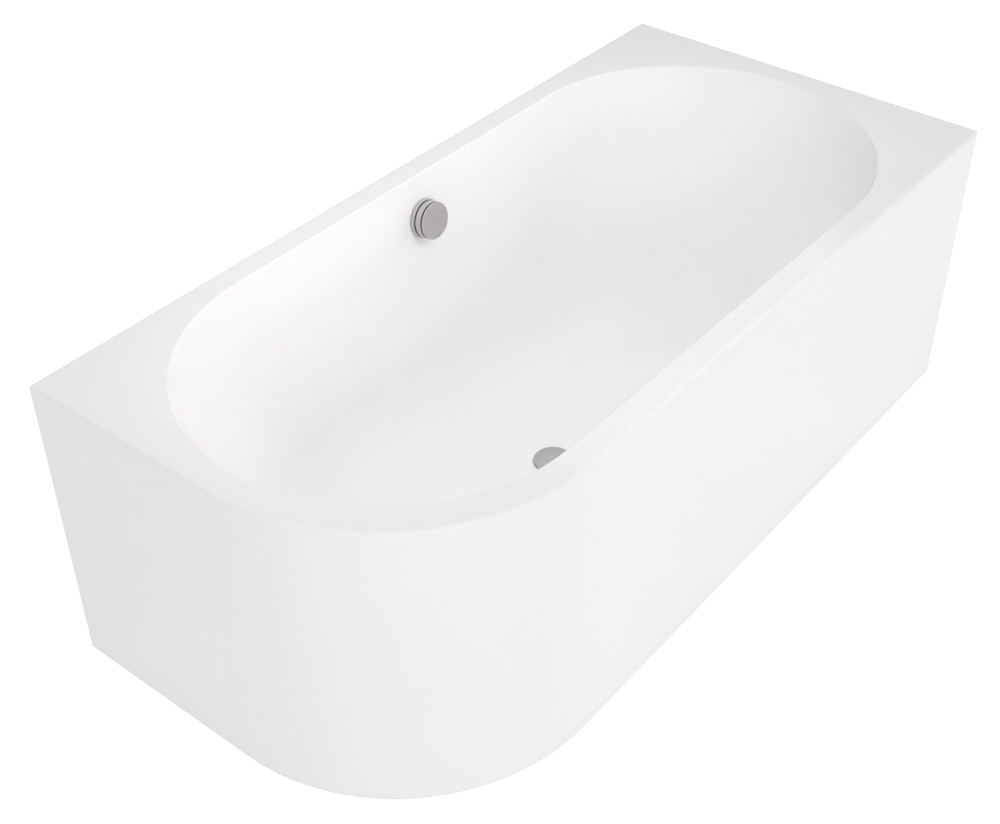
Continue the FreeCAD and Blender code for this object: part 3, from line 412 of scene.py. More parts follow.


# Painted shade: near-black for the plate's face under the knob.
PAINTED_SHADE_BLACK = (0.008, 0.008, 0.008)


def plated_rosette():
    """Plated plate of the overflow, with painted shade: its face under the knob is black, where the gap
    behind the knob lies in shade.
    """
    look = bpy.context.scene.bath_finish
    fit = bpy.context.scene.bath_fitting
    joint = JOINTS["knob_turn"]
    finish = Finish("plated_rosette", tone(look.chrome, 1.05), metallic=1.0)
    place = finish.place()
    from_wall = finish.vector("SUBTRACT", place, joint["pos_m"])
    height = finish.vector("DOT_PRODUCT", from_wall, joint["axis"], "Value")
    reach = finish.vector("LENGTH", from_wall, output="Value")
    radius = (reach * reach - height * height) ** 0.5
    # Painted shade: the plate's face within the knob's radius is made black and duller.
    painted_shade = radius < fit.knob_radius
    speck = finish.noise(place, scale=500.0, detail=3.0)
    plate = finish.mix(speck, tone(finish.base, 0.95), tone(finish.base, 1.05))
    finish.set("Base Color", finish.mix(painted_shade, plate, PAINTED_SHADE_BLACK))
    finish.gloss(speck, smooth=0.16, rough=0.26, dulled=painted_shade * 0.3)
    return finish.material


def brushed(name, base, smooth, stretch):
    """Metal with fine lines that run round it."""
    finish = Finish(name, base, metallic=1.0)
    lines = finish.noise(finish.place(stretch), scale=1.0, detail=3.0)
    finish.shades(lines, dark=0.88, light=1.1)
    finish.gloss(lines, smooth, smooth + 0.14)
    finish.bump(lines, depth=0.00005, strength=0.3)
    return finish.material


def stainless():
    return brushed("stainless", (0.62, 0.61, 0.59), smooth=0.24, stretch=(90.0, 90.0, 2600.0))


def brass():
    return brushed("brass", (0.71, 0.50, 0.22), smooth=0.22, stretch=(140.0, 140.0, 3000.0))


BLUE_ZINC = (0.58, 0.61, 0.66)
STRAW_ZINC = (0.70, 0.69, 0.63)


def zinc_fastener():
    """Bright zinc with a thin film that shifts from blue to straw."""
    finish = Finish("zinc_fastener", BLUE_ZINC, metallic=1.0)
    place = finish.place()
    finish.set("Base Color", finish.mix(finish.noise(place, scale=160.0), BLUE_ZINC, STRAW_ZINC))
    finish.gloss(finish.noise(place, scale=600.0, detail=3.0), smooth=0.24, rough=0.40)
    return finish.material


def galvanised_steel():
    """Dipped zinc: a spangle of crystals under a slight cloud."""
    look = bpy.context.scene.bath_finish
    finish = Finish("galvanised_steel", look.zinc, metallic=0.9)
    place = finish.place()
    spangle = finish.cells(place, scale=85.0)
    cloud = finish.noise(place, scale=12.0, detail=3.0)
    finish.shades(spangle * 0.7 + cloud * 0.3, dark=0.78, light=1.12)
    finish.gloss(spangle, smooth=0.32, rough=0.48, dulled=cloud * 0.08)
    finish.bump(spangle, depth=0.00006, strength=0.4)
    return finish.material


def softwood(name, stretch):
    """Planed timber: growth rings drawn out along the grain, with fine pores."""
    look = bpy.context.scene.bath_finish
    finish = Finish(name, look.softwood)
    place = finish.place(stretch)
    drift = finish.noise(place, scale=0.7)
    rings = finish.node("ShaderNodeTexWave",
                        {"Vector": place, "Scale": 1.5, "Distortion": 5.0, "Detail": 2.0},
                        {"wave_type": "BANDS", "bands_direction": "DIAGONAL"}, "Fac")
    pores = finish.noise(place, scale=9.0, detail=4.0)
    finish.shades(rings * 0.55 + drift * 0.25 + pores * 0.3, dark=0.74, light=1.2)
    finish.gloss(pores, smooth=0.5, rough=0.7)
    finish.bump(pores + rings * 0.4, depth=0.0003, strength=0.5)
    return finish.material


def softwood_along_x():
    return softwood("softwood_along_x", stretch=(4.0, 60.0, 60.0))


def softwood_along_y():
    return softwood("softwood_along_y", stretch=(60.0, 4.0, 60.0))


def chipboard():
    """Pressed chips of many shades, with dust between them."""
    finish = Finish("chipboard", (0.50, 0.36, 0.21))
    chips = finish.cells(finish.place(stretch=(1.0, 0.55, 1.0)), scale=230.0)
    dust = finish.noise(finish.place(), scale=420.0, detail=3.0)
    finish.shades(chips * 0.75 + dust * 0.3, dark=0.6, light=1.25)
    finish.gloss(dust, smooth=0.66, rough=0.86)
    finish.bump(chips + dust, depth=0.0004, strength=0.6)
    return finish.material


def moulded(name, base, smooth, grain, depth, spread, shine=0.5):
    """Moulded plastic or rubber: an even colour with a fine grain."""
    finish = Finish(name, base)
    finish.set("Specular IOR Level", shine)
    place = finish.place()
    fine = finish.noise(place, grain, detail=3.0)
    finish.shades(finish.noise(place, scale=18.0), 1.0 - spread, 1.0 + spread)
    finish.gloss(fine, smooth, smooth + 0.16)
    finish.bump(fine, depth, strength=0.4)
    return finish.material


def black_rubber():
    return moulded("black_rubber", (0.022, 0.022, 0.023), smooth=0.54, grain=900.0, depth=0.0001, spread=0.2)


def white_pipe():
    return moulded("white_pipe", (0.80, 0.80, 0.78), smooth=0.26, grain=700.0, depth=0.00005, spread=0.02)


def black_plastic():
    return moulded("black_plastic", (0.028, 0.029, 0.031), smooth=0.37, grain=1400.0, depth=0.00012,
                   spread=0.15)


def shadow_line():
    """Painted shade in the groove of the knob: a near-black which gives back almost no light."""
    return moulded("shadow_line", (0.006, 0.006, 0.006), smooth=0.62, grain=900.0, depth=0.0001, spread=0.2,
                   shine=0.05)


def grey_cable():
    return moulded("grey_cable", (0.23, 0.24, 0.25), smooth=0.34, grain=800.0, depth=0.00006, spread=0.08)


FINISHES = {
    "satin_chrome": plated_rosette, "stainless": stainless, "brass": brass, "zinc_fastener": zinc_fastener,
    "galvanised_steel": galvanised_steel, "softwood": softwood_along_x, "chipboard": chipboard,
    "black_rubber": black_rubber, "white_pipe": white_pipe, "black_plastic": black_plastic,
    "grey_cable": grey_cable, "white_acrylic": apron_acrylic,
}


def finished(maker):
    """The material of a maker function, made once."""
    name = maker.__name__
    found = bpy.data.materials.get("finish_" + name)
    if found is None:
        found = maker()
        found.name = "finish_" + name
    return found


def dress(nodes, maker=None):
    """Gives frame pieces the finish of their slot, or of the maker function that is named."""
    for node in nodes:
        chosen = finished(maker or FINISHES[SLOT_OF[node]])
        for slot in frame["nodes"][node].material_slots:
            slot.material = chosen


SMOOTH_ANGLE = math.radians(32.0)
LATHE_SIDES = 128
HOLE_SIDES = 64
ROLL_STEPS = 4


def add_piece(name, points, faces, body, makers):
    """A mesh object with its finishes that rides on a body."""
    mesh = bpy.data.meshes.new(name)
    mesh.from_pydata(points, [], faces)
    mesh.validate()
    piece = bpy.data.objects.new(name, mesh)
    bpy.context.scene.collection.objects.link(piece)
    for maker in makers:
        mesh.materials.append(finished(maker))
    smooth(mesh)
    weights = piece.modifiers.new("even_shading", "WEIGHTED_NORMAL")
    weights.keep_sharp = True
    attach(piece, body)
    return piece


def smooth(mesh):
    """Smooth shading where faces meet at less than the smooth angle, and sharp edges elsewhere."""
    mesh.polygons.foreach_set("use_smooth", [True] * len(mesh.polygons))
    mesh.set_sharp_from_angle(angle=SMOOTH_ANGLE)
    mesh.update()


def circle(radius, height, sides):
    turns = [2.0 * math.pi * k / sides for k in range(sides)]
    return [(radius * math.cos(turn), radius * math.sin(turn), height) for turn in turns]


def between(first, last, shares):
    """Points on a straight line at the given shares of its length."""
    first = Vector(first)
    last = Vector(last)
    return [tuple(first.lerp(last, share)) for share in shares]


def ring_faces(ring_count, size, close_rows):
    """Quads between rings of points, each ring a closed loop of the same size."""
    faces = []
    last = ring_count if close_rows else ring_count - 1
    for row in range(last):
        below = row * size
        above = ((row + 1) % ring_count) * size
        for k in range(size):
            after = (k + 1) % size
            faces.append((below + k, below + after, above + after, above + k))
    return faces


def soften(corners):
    """Rounds the corners (radius, height, roll) of a closed profile with small arcs."""
    points = []
    for k, (radius, height, roll) in enumerate(corners):
        here = Vector((radius, height))
        if roll <= 0.0:
            points.append(here)
            continue
        back = (Vector(corners[k - 1][:2]) - here).normalized()
        ahead = (Vector(corners[(k + 1) % len(corners)][:2]) - here).normalized()
        half = back.angle(ahead) / 2.0
        middle = here + (back + ahead).normalized() * roll / math.sin(half)
        first = here + back * roll / math.tan(half) - middle
        last = here + ahead * roll / math.tan(half) - middle
        points += [middle + first.slerp(last, step / ROLL_STEPS).normalized() * roll
                   for step in range(ROLL_STEPS + 1)]
    return points


def turned(name, corners, body, makers):
    """A piece from the lathe: a closed profile of (radius, height, roll) corners spun about Z."""
    profile = soften(corners)
    points = []
    for radius, height in profile:
        points += circle(radius, height, LATHE_SIDES)
    faces = ring_faces(len(profile), LATHE_SIDES, True)
    return add_piece(name, points, faces, body, makers)


def plain_cylinder(radius, low, high):
    """Bare mesh object for cutting a round hole along Z."""
    points = circle(radius, low, HOLE_SIDES) + circle(radius, high, HOLE_SIDES)
    faces = ring_faces(2, HOLE_SIDES, False)
    faces += [tuple(range(HOLE_SIDES))[::-1], tuple(range(HOLE_SIDES, 2 * HOLE_SIDES))]
    mesh = bpy.data.meshes.new("cutter")
    mesh.from_pydata(points, [], faces)
    cutter = bpy.data.objects.new("cutter", mesh)
    bpy.context.scene.collection.objects.link(cutter)
    return cutter


def cut_with(piece, cutter):
    """Takes the cutter's volume out of a piece, for good."""
    cut = piece.modifiers.new("cut", "BOOLEAN")
    cut.operation = "DIFFERENCE"
    cut.solver = "EXACT"
    cut.object = cutter
    others = [modifier for modifier in piece.modifiers if modifier != cut]
    for modifier in others:
        modifier.show_viewport = False
    bpy.context.view_layer.update()
    shaped = piece.evaluated_get(bpy.context.evaluated_depsgraph_get())
    piece.data = bpy.data.meshes.new_from_object(shaped)
    piece.modifiers.remove(cut)
    for modifier in others:
        modifier.show_viewport = True
    bpy.data.objects.remove(cutter)


def overflow_place():
    """Frame of the overflow: Z out of the basin wall along the knob's axis, X along the bath."""
    joint = JOINTS["knob_turn"]
    out = Vector(joint["axis"]).normalized()
    side = Vector((1.0, 0.0, 0.0))
    place = Matrix((side, out.cross(side), out)).transposed().to_4x4()
    place.translation = Vector(joint["pos_m"])
    return place


Station = collections.namedtuple("Station", "along heading")
EdgeForm = collections.namedtuple("EdgeForm", "radius drop depth width")


class ShellForm:
    """Plan and sections of the shell. A station is one line that runs from the drain out to the edge."""
    side_steps = 44
    end_steps = 20
    corner_turns = (0.0022, 0.006, 0.012, 0.022)
    floor_steps = 20
    lip_steps = 10
    edge_steps = 6
    under_steps = 12
    floor_shares = (0.03, 0.25, 0.6, 0.95)
    wall_shares = (0.03, 0.2, 0.4, 0.6, 0.8, 0.97)
    deck_shares = (0.06, 0.35, 0.65, 0.94)
    under_shares = (0.25, 0.5, 0.75)
    seat_rolls = 3.0
    roll_bulge = 0.3
    blend_reach = 0.014
    slack = 1e-5

    def __init__(self, size):
        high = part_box("tub_shell")[1]
        self.size = size
        self.half_length = high.x
        self.half_width = high.y
        self.height = high.z
        self.side_lean = math.tan(size.side_angle)
        self.end_lean = math.tan(size.end_angle)
        self.opening = self.half_width - (size.rim_front + size.rim_back) / 2.0
        self.middle_y = (size.rim_front - size.rim_back) / 2.0
        self.corner_x = size.corner_radius - self.half_length
        self.corner_y = size.corner_radius - self.half_width
        self.left, self.right, _ = self.centres(self.height, 0.0)

    def centres(self, height, wall):
        """Centres of the oval's round ends, and its radius, at one height."""
        drop = self.height - height
        radius = self.opening - drop * self.side_lean + wall / math.cos(self.size.side_angle)
        shift = drop * self.end_lean - wall / math.cos(self.size.end_angle)
        left = self.size.rim_left - self.half_length + shift + radius
        right = self.half_length - self.size.rim_right - shift - radius
        return left, right, radius

    def stations(self):
        """All lines round the bath, anticlockwise from the front of the right end."""
        quarter = math.pi / 2.0
        to_back = self.half_width - self.middle_y
        to_front = -self.half_width - self.middle_y
        right_turns = [math.atan2(side, self.half_length - self.right) for side in (to_front, to_back)]
        left_turn = math.atan2(to_back, -self.half_length - self.left)
        right_end = self.headings((-quarter, *right_turns, quarter))
        left_end = self.headings((quarter, left_turn, 2 * quarter, 3 * quarter))
        found = [Station(1.0, turn) for turn in right_end]
        found += [Station(1.0 - k / self.side_steps, quarter) for k in range(self.side_steps)]
        found += [Station(0.0, turn) for turn in left_end]
        found += [Station(k / self.side_steps, 3 * quarter) for k in range(self.side_steps)]
        return found

    def headings(self, stops):
        """Even turns between the stops, with closer ones on both sides of the square corners."""
        turns = set()
        for first, last in zip(stops, stops[1:]):
            turns.update(first + (last - first) * k / self.end_steps for k in range(self.end_steps))
        for stop in stops[1:-1]:
            turns.update(stop + side * turn for turn in self.corner_turns for side in (-1, 1))
        return sorted(turns)

    def way(self, station):
        return Vector((math.cos(station.heading), math.sin(station.heading)))

    def drain_way(self, station):
        """Direction from the drain to where the station's floor begins to roll."""
        return Vector(self.floor_line(station, 0.0)[0]).normalized()

    def section(self, station, height, wall):
        left, right, radius = self.centres(height, wall)
        middle = left + (right - left) * station.along
        return Vector((middle, self.middle_y)) + self.way(station) * radius

    def lean(self, station):
        """Angle of the basin wall from the vertical: more at the ends than at the sides."""
        share = abs(self.way(station).x)
        return math.atan(self.side_lean + (self.end_lean - self.side_lean) * share)

    def outline(self, station, inset):
        """Where a station's line meets the outer edge, drawn in by the inset."""
        start = Vector((self.left + (self.right - self.left) * station.along, self.middle_y))
        way = self.way(station)
        reaches = []
        if abs(way.x) > self.slack:
            reaches.append((math.copysign(self.half_length - inset, way.x) - start.x) / way.x)
        if abs(way.y) > self.slack:
            reaches.append((math.copysign(self.half_width - inset, way.y) - start.y) / way.y)
        point = start + way * min(reaches)
        if point.x < self.corner_x and point.y < self.corner_y:
            offset = start - Vector((self.corner_x, self.corner_y))
            along = offset.dot(way)
            radius = self.size.corner_radius - inset
            point = start + way * (math.sqrt(along * along - offset.length_squared + radius * radius) - along)
        return point

    def edge(self, station):
        """Roll, depth and thickness of the outer edge: a nose over the apron, a flange at the walls."""
        size = self.size
        point = self.outline(station, 0.0)
        corners = (Vector((-self.half_length, self.half_width)), Vector((self.half_length, -self.half_width)))
        share = min(min((point - corner).length for corner in corners) / self.blend_reach, 1.0)
        share = share * share * (3.0 - 2.0 * share)
        at_wall = point.x > self.half_length - self.slack or point.y > self.half_width - self.slack
        if at_wall:
            depth = size.nose_height + (size.flange_height - size.nose_height) * share
            return EdgeForm(size.edge_radius, size.edge_radius, depth, size.wall)
        radius = size.edge_radius + (size.nose_radius - size.edge_radius) * share
        drop = size.edge_radius + (size.nose_drop - size.edge_radius) * share
        return EdgeForm(radius, drop, size.nose_height, size.wall + (size.nose_width - size.wall) * share)

    def floor_line(self, station, wall):
        """Ball that rolls between floor and wall: its centre in plan, the floor's height and its radius."""
        radius = self.size.floor_radius + wall
        floor = self.size.floor_height - wall
        lean = self.lean(station)
        contact = floor + radius * (1.0 - math.sin(lean))
        centre = self.section(station, contact, wall) - self.way(station) * radius * math.cos(lean)
        return centre, floor, radius

    def drain_seat(self, station):
        """Points from the drain hole over its sunk seat up to the floor."""
        size = self.size
        drain = self.drain_way(station)
        roll = size.recess_depth / self.seat_rolls
        bulge = roll * self.roll_bulge
        seat = size.floor_height - size.recess_depth
        rim = size.recess_radius
        profile = [(size.drain_radius, seat), (rim - roll, seat), (rim, seat + roll / self.seat_rolls),
                   (rim, size.floor_height - roll), (rim + bulge, size.floor_height - bulge),
                   (rim + roll, size.floor_height)]
        return [(*(drain * radius), height) for radius, height in profile]

    def floor_roll(self, station, wall, steps):
        """Points from the flat floor up to the wall."""
        centre, floor, radius = self.floor_line(station, wall)
        sweep = math.pi / 2.0 - self.lean(station)
        points = []
        for step in range(steps + 1):
            turn = sweep * step / steps
            plan = centre + self.way(station) * radius * math.sin(turn)
            points.append((*plan, floor + radius * (1.0 - math.cos(turn))))
        return points

    def lip_roll(self, station):
        """Points from the basin wall over the lip to the deck."""
        radius = self.size.lip_radius
        lean = self.lean(station)
        reach = radius * math.tan(math.pi / 4.0 - lean / 2.0)
        centre = self.section(station, self.height, 0.0) + self.way(station) * reach
        points = []
        for step in range(self.lip_steps + 1):
            turn = (math.pi / 2.0 - lean) * (1.0 - step / self.lip_steps)
            plan = centre - self.way(station) * radius * math.sin(turn)
            points.append((*plan, self.height - radius * (1.0 - math.cos(turn))))
        return points

    def edge_roll(self, station):
        """Points from the deck over the roll of the outer edge."""
        edge = self.edge(station)
        points = []
        for step in range(self.edge_steps + 1):
            turn = math.pi / 2.0 * step / self.edge_steps
            inset = edge.radius * (1.0 - math.sin(turn))
            points.append((*self.outline(station, inset), self.height - edge.drop * (1.0 - math.cos(turn))))
        return points

    def top(self, station):
        """The side that is seen, from the drain hole over floor, wall, lip and deck to the outer edge."""
        seat = self.drain_seat(station)
        floor = self.floor_roll(station, 0.0, self.floor_steps)
        lip = self.lip_roll(station)
        edge = self.edge_roll(station)
        return [*seat, *between(seat[-1], floor[0], self.floor_shares),
                *floor, *between(floor[-1], lip[0], self.wall_shares),
                *lip, *between(lip[-1], edge[0], self.deck_shares), *edge]

    def underside(self, station):
        """The hidden side, from the outer edge back to the drain hole."""
        size = self.size
        edge = self.edge(station)
        foot = self.height - edge.depth
        below_deck = self.height - size.wall
        wall_top = (*self.section(station, below_deck, size.wall), below_deck)
        floor = self.floor_roll(station, size.wall, self.under_steps)[::-1]
        drain = self.drain_way(station)
        cup = drain * (size.recess_radius + size.wall)
        below_floor = size.floor_height - size.wall
        below_seat = below_floor - size.recess_depth
        return [(*self.outline(station, 0.0), foot), (*self.outline(station, edge.width), foot),
                (*self.outline(station, edge.width), below_deck), wall_top,
                *between(wall_top, floor[0], self.under_shares), *floor,
                (*cup, below_floor), (*cup, below_seat), (*(drain * size.drain_radius), below_seat)]


class BATH_OT_shell(bpy.types.Operator):
    """Builds the moulded shell and finishes the apron"""
    bl_idname = "bath.shell"
    bl_label = "Shell and apron"
    cut_reach = 4.0

    def execute(self, context):
        size = context.scene.bath_shell
        form = ShellForm(size)
        stations = form.stations()
        tops = [form.top(station) for station in stations]
        lines = [top + form.underside(station) for top, station in zip(tops, stations)]
        rows = len(lines[0])
        points = [line[row] for row in range(rows) for line in lines]
        faces = ring_faces(rows, len(lines), True)
        shell = add_piece("moulded_shell", points, faces, "tub", (acrylic, glass_backing))
        first_hidden = (len(tops[0]) + 1) * len(lines)
        last_hidden = (rows - 1) * len(lines)
        for face in shell.data.polygons:
            face.material_index = 1 if first_hidden <= face.index < last_hidden else 0
        reach = self.cut_reach * size.wall
        cutter = plain_cylinder(size.overflow_radius, -reach, reach)
        cutter.matrix_world = overflow_place()
        cut_with(shell, cutter)
        smooth(shell.data)
        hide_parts("tub_shell")
        dress(["apron"])
        return {"FINISHED"}


class BATH_OT_timber(bpy.types.Operator):
    """Finishes the base board, the rim battens and the apron blocks"""
    bl_idname = "bath.timber"
    bl_label = "Board and battens"

    def execute(self, context):
        dress(["base_board", "rim_batten_back", "rim_batten_front", "apron_blocks"])
        dress(["rim_batten_left", "rim_batten_right"], softwood_along_y)
        return {"FINISHED"}


class BATH_OT_leg_frame(bpy.types.Operator):
    """Finishes the rails, struts and wall angles with their fasteners"""
    bl_idname = "bath.leg_frame"
    bl_label = "Leg frame"

    def execute(self, context):
        dress(["leg_rail_left", "leg_rail_right", "rail_end_caps", "rail_screws", "foot_weld_nuts",
               "foot_lock_nuts", "apron_struts_front", "apron_strut_left", "strut_screws", "strut_bolts",
               "wall_angles", "wall_angle_screws"])
        return {"FINISHED"}


class BATH_OT_feet(bpy.types.Operator):
    """Cuts the threads of the four levelling feet and finishes their pads"""
    bl_idname = "bath.feet"
    bl_label = "Levelling feet"
    sides = 24
    rows_per_turn = 6

    def execute(self, context):
        fitting = context.scene.bath_fitting
        for corner in ("front_left", "front_right", "back_left", "back_right"):
            node = "foot_stud_" + corner
            stud = self.threaded(node, "foot_" + corner, fitting)
            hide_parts(node)
            dress(["foot_pad_" + corner])
        return {"FINISHED"}

    def threaded(self, node, body, fitting):
        """A stud with a thread that fades out at its top."""
        low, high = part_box(node)
        middle = (low + high) / 2.0
        outer = (high.x - low.x) / 2.0
        count = int((high.z - low.z) / fitting.thread_pitch * self.rows_per_turn)
        points = []
        for row in range(count + 1):
            height = low.z + (high.z - low.z) * row / count
            fade = min((high.z - height) / fitting.thread_pitch, 1.0)
            for k in range(self.sides):
                turn = 2.0 * math.pi * k / self.sides
                wave = abs(((height / fitting.thread_pitch - k / self.sides) % 1.0) * 2.0 - 1.0)
                radius = outer - fitting.thread_depth * max(wave, 1.0 - fade)
                across = radius * math.cos(turn)
                deep = radius * math.sin(turn)
                points.append((middle.x + across, middle.y + deep, height))
        faces = ring_faces(count + 1, self.sides, False)
        faces.append(tuple(range(self.sides))[::-1])
        faces.append(tuple(range(count * self.sides, (count + 1) * self.sides)))
        return add_piece("threaded_" + node, points, faces, body, (zinc_fastener,))


class BATH_OT_overflow(bpy.types.Operator):
    """Finishes the overflow set with its pipe and cable"""
    bl_idname = "bath.overflow"
    bl_label = "Overflow"

    def execute(self, context):
        dress(["overflow_seal_front", "overflow_rosette", "overflow_seal_back", "overflow_body",
               "overflow_screws", "cable_box", "bowden_cable", "cable_clips", "overflow_pipe", "pipe_nuts",
               "pipe_seals", "knob_spindle", "cable_drum"])
        return {"FINISHED"}


class BATH_OT_knob(bpy.types.Operator):
    """Turns the knob's ring and cap"""
    bl_idname = "bath.knob"
    bl_label = "Knob"
    centre_share = 0.05
    margin_share = 0.25

    def execute(self, context):
        fit = context.scene.bath_fitting
        soft = fit.soft_edge
        margin = soft * self.margin_share
        front = fit.ring_back + fit.ring_depth
        web = front - fit.ring_web
        inner = fit.knob_radius - fit.ring_wall
        edge = front - fit.ring_step
        neck = fit.knob_radius - fit.groove_depth
        ring = turned("knob_ring_turned", [
            (fit.knob_bore, fit.ring_back, 0.0), (fit.knob_hub, fit.ring_back, 0.0), (fit.knob_hub, web, 0.0),
            (inner, web, 0.0), (inner, fit.ring_back, soft), (fit.knob_radius, fit.ring_back, soft),
            (fit.knob_radius, edge, soft), (neck, edge, 0.0), (neck, front, 0.0),
            (fit.knob_bore, front, 0.0)], "knob", (satin_chrome, shadow_line))
        # The ring's faces at the groove take the shadow_line finish: painted shade.
        for polygon in ring.data.polygons:
            polygon.material_index = 1 if polygon.center.z > edge - margin else 0
        back = front + fit.groove
        face = back + fit.cap_depth
        rim = fit.knob_radius - fit.knob_bevel
        middle = fit.knob_bore * self.centre_share
        cap = turned("knob_cap_turned", [
            (middle, front, 0.0), (neck, front, 0.0), (neck, back, 0.0), (fit.knob_radius, back, soft),
            (fit.knob_radius, face - fit.knob_bevel, soft), (rim, face, soft), (middle, face, 0.0)],
            "knob", (satin_chrome, shadow_line))
        # The cap's faces at the groove take the shadow_line finish: painted shade.
        for polygon in cap.data.polygons:
            polygon.material_index = 1 if polygon.center.z < back + margin else 0
        for piece, node in ((ring, "knob_ring"), (cap, "knob_cap")):
            piece.matrix_world = overflow_place()
            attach(piece, "knob")
            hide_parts(node)
        return {"FINISHED"}


class BATH_OT_waste(bpy.types.Operator):
    """Finishes the waste, the trap and the rocker that lifts the plug"""
    bl_idname = "bath.waste"
    bl_label = "Waste and trap"

    def execute(self, context):
        dress(["waste_flange", "waste_gasket_upper", "waste_gasket_lower", "waste_body", "trap_cap",
               "trap_seal", "lever_housing", "rocker_shaft", "rocker_finger", "rocker_drum"])
        return {"FINISHED"}


class BATH_OT_plug(bpy.types.Operator):
    """Turns the plug's cover and finishes its stem and seal"""
    bl_idname = "bath.plug"
    bl_label = "Plug"
    dome = 0.0016
    rows = 10
    centre_share = 1.0 / 300.0

    def execute(self, context):
        soft = context.scene.bath_fitting.soft_edge
        low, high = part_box("plug_cover")
        radius = high.x
        edge = high.z - self.dome
        middle = radius * self.centre_share
        corners = [(middle, low.z, 0.0), (radius, low.z, soft), (radius, edge, soft)]
        for k in range(1, self.rows):
            share = 1.0 - k / self.rows
            corners.append((radius * share, high.z - self.dome * share ** 2, 0.0))
        corners.append((middle, high.z, 0.0))
        # The cover takes the darker copy of the chrome: painted shade.
        cover = turned("plug_cover_turned", corners, "plug", (shaded_plug_chrome,))
        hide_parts("plug_cover")
        dress(["plug_stem", "plug_seal"])
        return {"FINISHED"}


BATH = (0.0, 0.0, 0.3)
SOFT_BOX = (3.0, 2.4)
ALL_ROUND = 180.0
Lamp = collections.namedtuple("Lamp", "name watts place aim size spread glint",
                              defaults=(BATH, SOFT_BOX, ALL_ROUND, False))
LAMPS = (
    Lamp("key_lamp", 7.6, (2.9, -3.2, 1.75), (0.0, -0.3, 0.5), (1.6, 1.2), glint=True),
    Lamp("front_lamp", 13.0, (-0.8, -4.2, 2.2)),
    Lamp("front_left_lamp", 50.0, (-3.0, -3.6, 1.6)),
    Lamp("front_high_lamp", 33.0, (0.0, -2.8, 3.6)),
    Lamp("left_lamp", 43.0, (-3.4, 0.3, 3.4)),
    Lamp("right_lamp", 64.0, (4.4, -0.4, 1.7)),
    Lamp("back_lamp", 31.0, (0.0, 3.2, 3.4)),
    Lamp("deck_lamp", 0.015, (-0.07, -0.50, 1.25), (-0.07, -0.385, 0.6), (0.8, 0.02), 13.0),
    Lamp("basin_floor_lamp", 0.59, (0.0, 0.0, 1.6), BATH, (1.2, 0.45), 40.0),
    Lamp("basin_back_lamp", 0.215, (0.0, -0.5, 1.5), (0.0, 0.3, 0.42), (1.2, 0.3), 35.0),
    Lamp("back_lip_lamp", 0.033, (0.1, -0.9, 0.70), (0.1, 0.35, 0.57), (1.2, 0.03), 12.0),
    Lamp("basin_left_lamp", 0.36, (0.9, -0.2, 1.3), (-0.7, 0.1, 0.5), (0.6, 0.4), 40.0),
    Lamp("basin_right_lamp", 0.08, (-0.9, -0.2, 1.3), (0.7, 0.1, 0.5), (0.6, 0.4), 40.0),
)


def soft_lamp(lamp, level, tint):
    """A soft box out of the picture. Only one with a glint shows in the gloss of the edges."""
    light = bpy.data.lights.new(lamp.name, "AREA")
    light.shape = "RECTANGLE"
    light.size, light.size_y = lamp.size
    light.spread = math.radians(lamp.spread)
    light.energy = lamp.watts * level
    light.color = tint
    box = bpy.data.objects.new(lamp.name, light)
    box.location = lamp.place
    box.rotation_euler = (Vector(lamp.aim) - Vector(lamp.place)).to_track_quat("-Z", "Y").to_euler()
    box.visible_glossy = lamp.glint
    box.visible_camera = False
    bpy.context.scene.collection.objects.link(box)


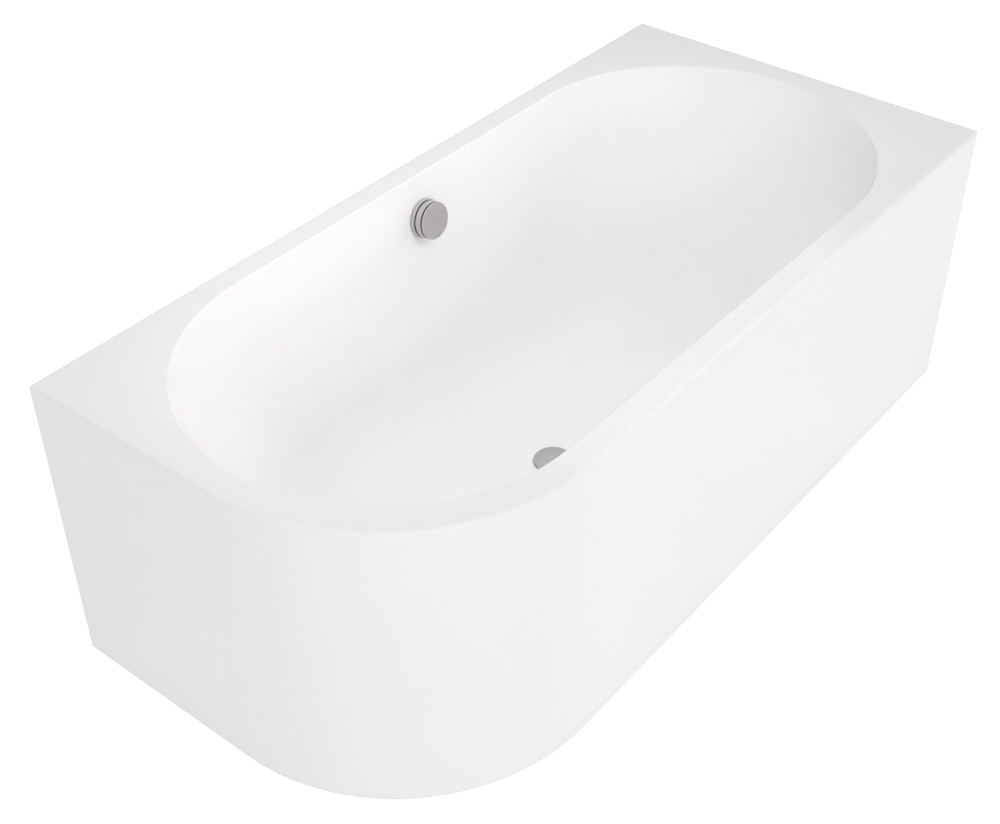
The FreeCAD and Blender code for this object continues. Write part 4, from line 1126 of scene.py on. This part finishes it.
class BATH_OT_stage(bpy.types.Operator):
    """Lays the pale floor and sets up the light and the camera"""
    bl_idname = "bath.stage"
    bl_label = "Studio"
    white = (1.0, 1.0, 1.0)
    paper = (0.88, 0.89, 0.88)
    paper_roughness = 0.9
    lift = 0.60
    fade_start = 1.6
    fade_length = 1.8
    sensor_width = 36.0

    def execute(self, context):
        stage = context.scene.bath_stage
        self.floor(stage)
        self.world(context.scene, stage)
        for lamp in LAMPS:
            soft_lamp(lamp, stage.lamp_level, stage.tint)
        self.camera(context.scene, stage)
        context.scene.view_settings.view_transform = "Standard"
        return {"FINISHED"}

    def floor(self, stage):
        """Paper that fades into the white of the backdrop."""
        half = stage.floor_size
        mesh = bpy.data.meshes.new("studio_floor")
        mesh.from_pydata([(-half, -half, 0.0), (half, -half, 0.0), (half, half, 0.0), (-half, half, 0.0)],
                         [], [(0, 1, 2, 3)])
        floor = bpy.data.objects.new("studio_floor", mesh)
        bpy.context.scene.collection.objects.link(floor)
        paper = Finish("studio_paper", self.paper)
        paper.set("Roughness", self.paper_roughness)
        glow = paper.node("ShaderNodeEmission", {"Color": self.white, "Strength": self.lift})
        lifted = paper.node("ShaderNodeAddShader", {0: paper.surface, 1: glow})
        bright = paper.node("ShaderNodeEmission", {"Color": self.white})
        reach = paper.vector("LENGTH", paper.place(), output="Value")
        far = paper.node("ShaderNodeClamp", {"Value": (reach - self.fade_start) / self.fade_length})
        view = paper.node("ShaderNodeMixShader", {0: far, 1: lifted, 2: bright})
        paper.show(paper.node("ShaderNodeMixShader", {0: paper.seen(), 1: paper.surface, 2: view}))
        mesh.materials.append(paper.material)

    def world(self, scene, stage):
        """Even light from all sides, in front of a white backdrop."""
        scene.world = bpy.data.worlds.new("studio_world")
        sky = Nodes(scene.world, "ShaderNodeOutputWorld")
        light = sky.node("ShaderNodeBackground", {"Color": stage.tint, "Strength": stage.ambient})
        backdrop = sky.node("ShaderNodeBackground", {"Color": self.white})
        sky.show(sky.node("ShaderNodeMixShader", {0: sky.seen(), 1: light, 2: backdrop}))

    def camera(self, scene, stage):
        """The photo's camera, from its angles and place."""
        data = bpy.data.cameras.new("photo_camera")
        data.sensor_width = self.sensor_width
        data.lens = stage.lens
        camera = bpy.data.objects.new("photo_camera", data)
        flat = math.cos(stage.elevation)
        back = Vector((flat * math.sin(stage.azimuth), -flat * math.cos(stage.azimuth),
                       math.sin(stage.elevation)))
        right = Vector((0.0, 0.0, 1.0)).cross(back).normalized()
        turn = Matrix.Rotation(stage.roll, 3, back)
        right = turn @ right
        view = Matrix((right, back.cross(right), back)).transposed().to_4x4()
        view.translation = Vector(stage.camera_place)
        camera.matrix_world = view
        scene.collection.objects.link(camera)
        scene.camera = camera


STEPS = (BATH_OT_shell, BATH_OT_timber, BATH_OT_leg_frame, BATH_OT_feet, BATH_OT_overflow, BATH_OT_knob,
         BATH_OT_waste, BATH_OT_plug, BATH_OT_stage)
SETTINGS = {"bath_shell": BathShellSettings, "bath_fitting": BathFittingSettings,
            "bath_finish": BathFinishSettings, "bath_stage": BathStageSettings}


class VIEW3D_PT_bath(bpy.types.Panel):
    """Lists the steps that dress the bath, and its sizes and colours"""
    bl_label = "Corner Bath"
    bl_idname = "VIEW3D_PT_bath"
    bl_space_type = "VIEW_3D"
    bl_region_type = "UI"
    bl_category = "Bath"

    def draw(self, context):
        column = self.layout.column(align=True)
        for step in STEPS:
            column.operator(step.bl_idname)
        for name, group in SETTINGS.items():
            box = self.layout.box()
            box.label(text=group.__doc__)
            for key in group.__annotations__:
                box.prop(getattr(context.scene, name), key)


def register():
    for group in SETTINGS.values():
        bpy.utils.register_class(group)
    for step in STEPS:
        bpy.utils.register_class(step)
    bpy.utils.register_class(VIEW3D_PT_bath)
    for name, group in SETTINGS.items():
        setattr(bpy.types.Scene, name, PointerProperty(type=group))


def unregister():
    for name in SETTINGS:
        delattr(bpy.types.Scene, name)
    bpy.utils.unregister_class(VIEW3D_PT_bath)
    for step in reversed(STEPS):
        bpy.utils.unregister_class(step)
    for group in SETTINGS.values():
        bpy.utils.unregister_class(group)


def main():
    register()
    for step in STEPS:
        group, name = step.bl_idname.split(".")
        getattr(getattr(bpy.ops, group), name)()


if __name__ == "__main__":
    main()
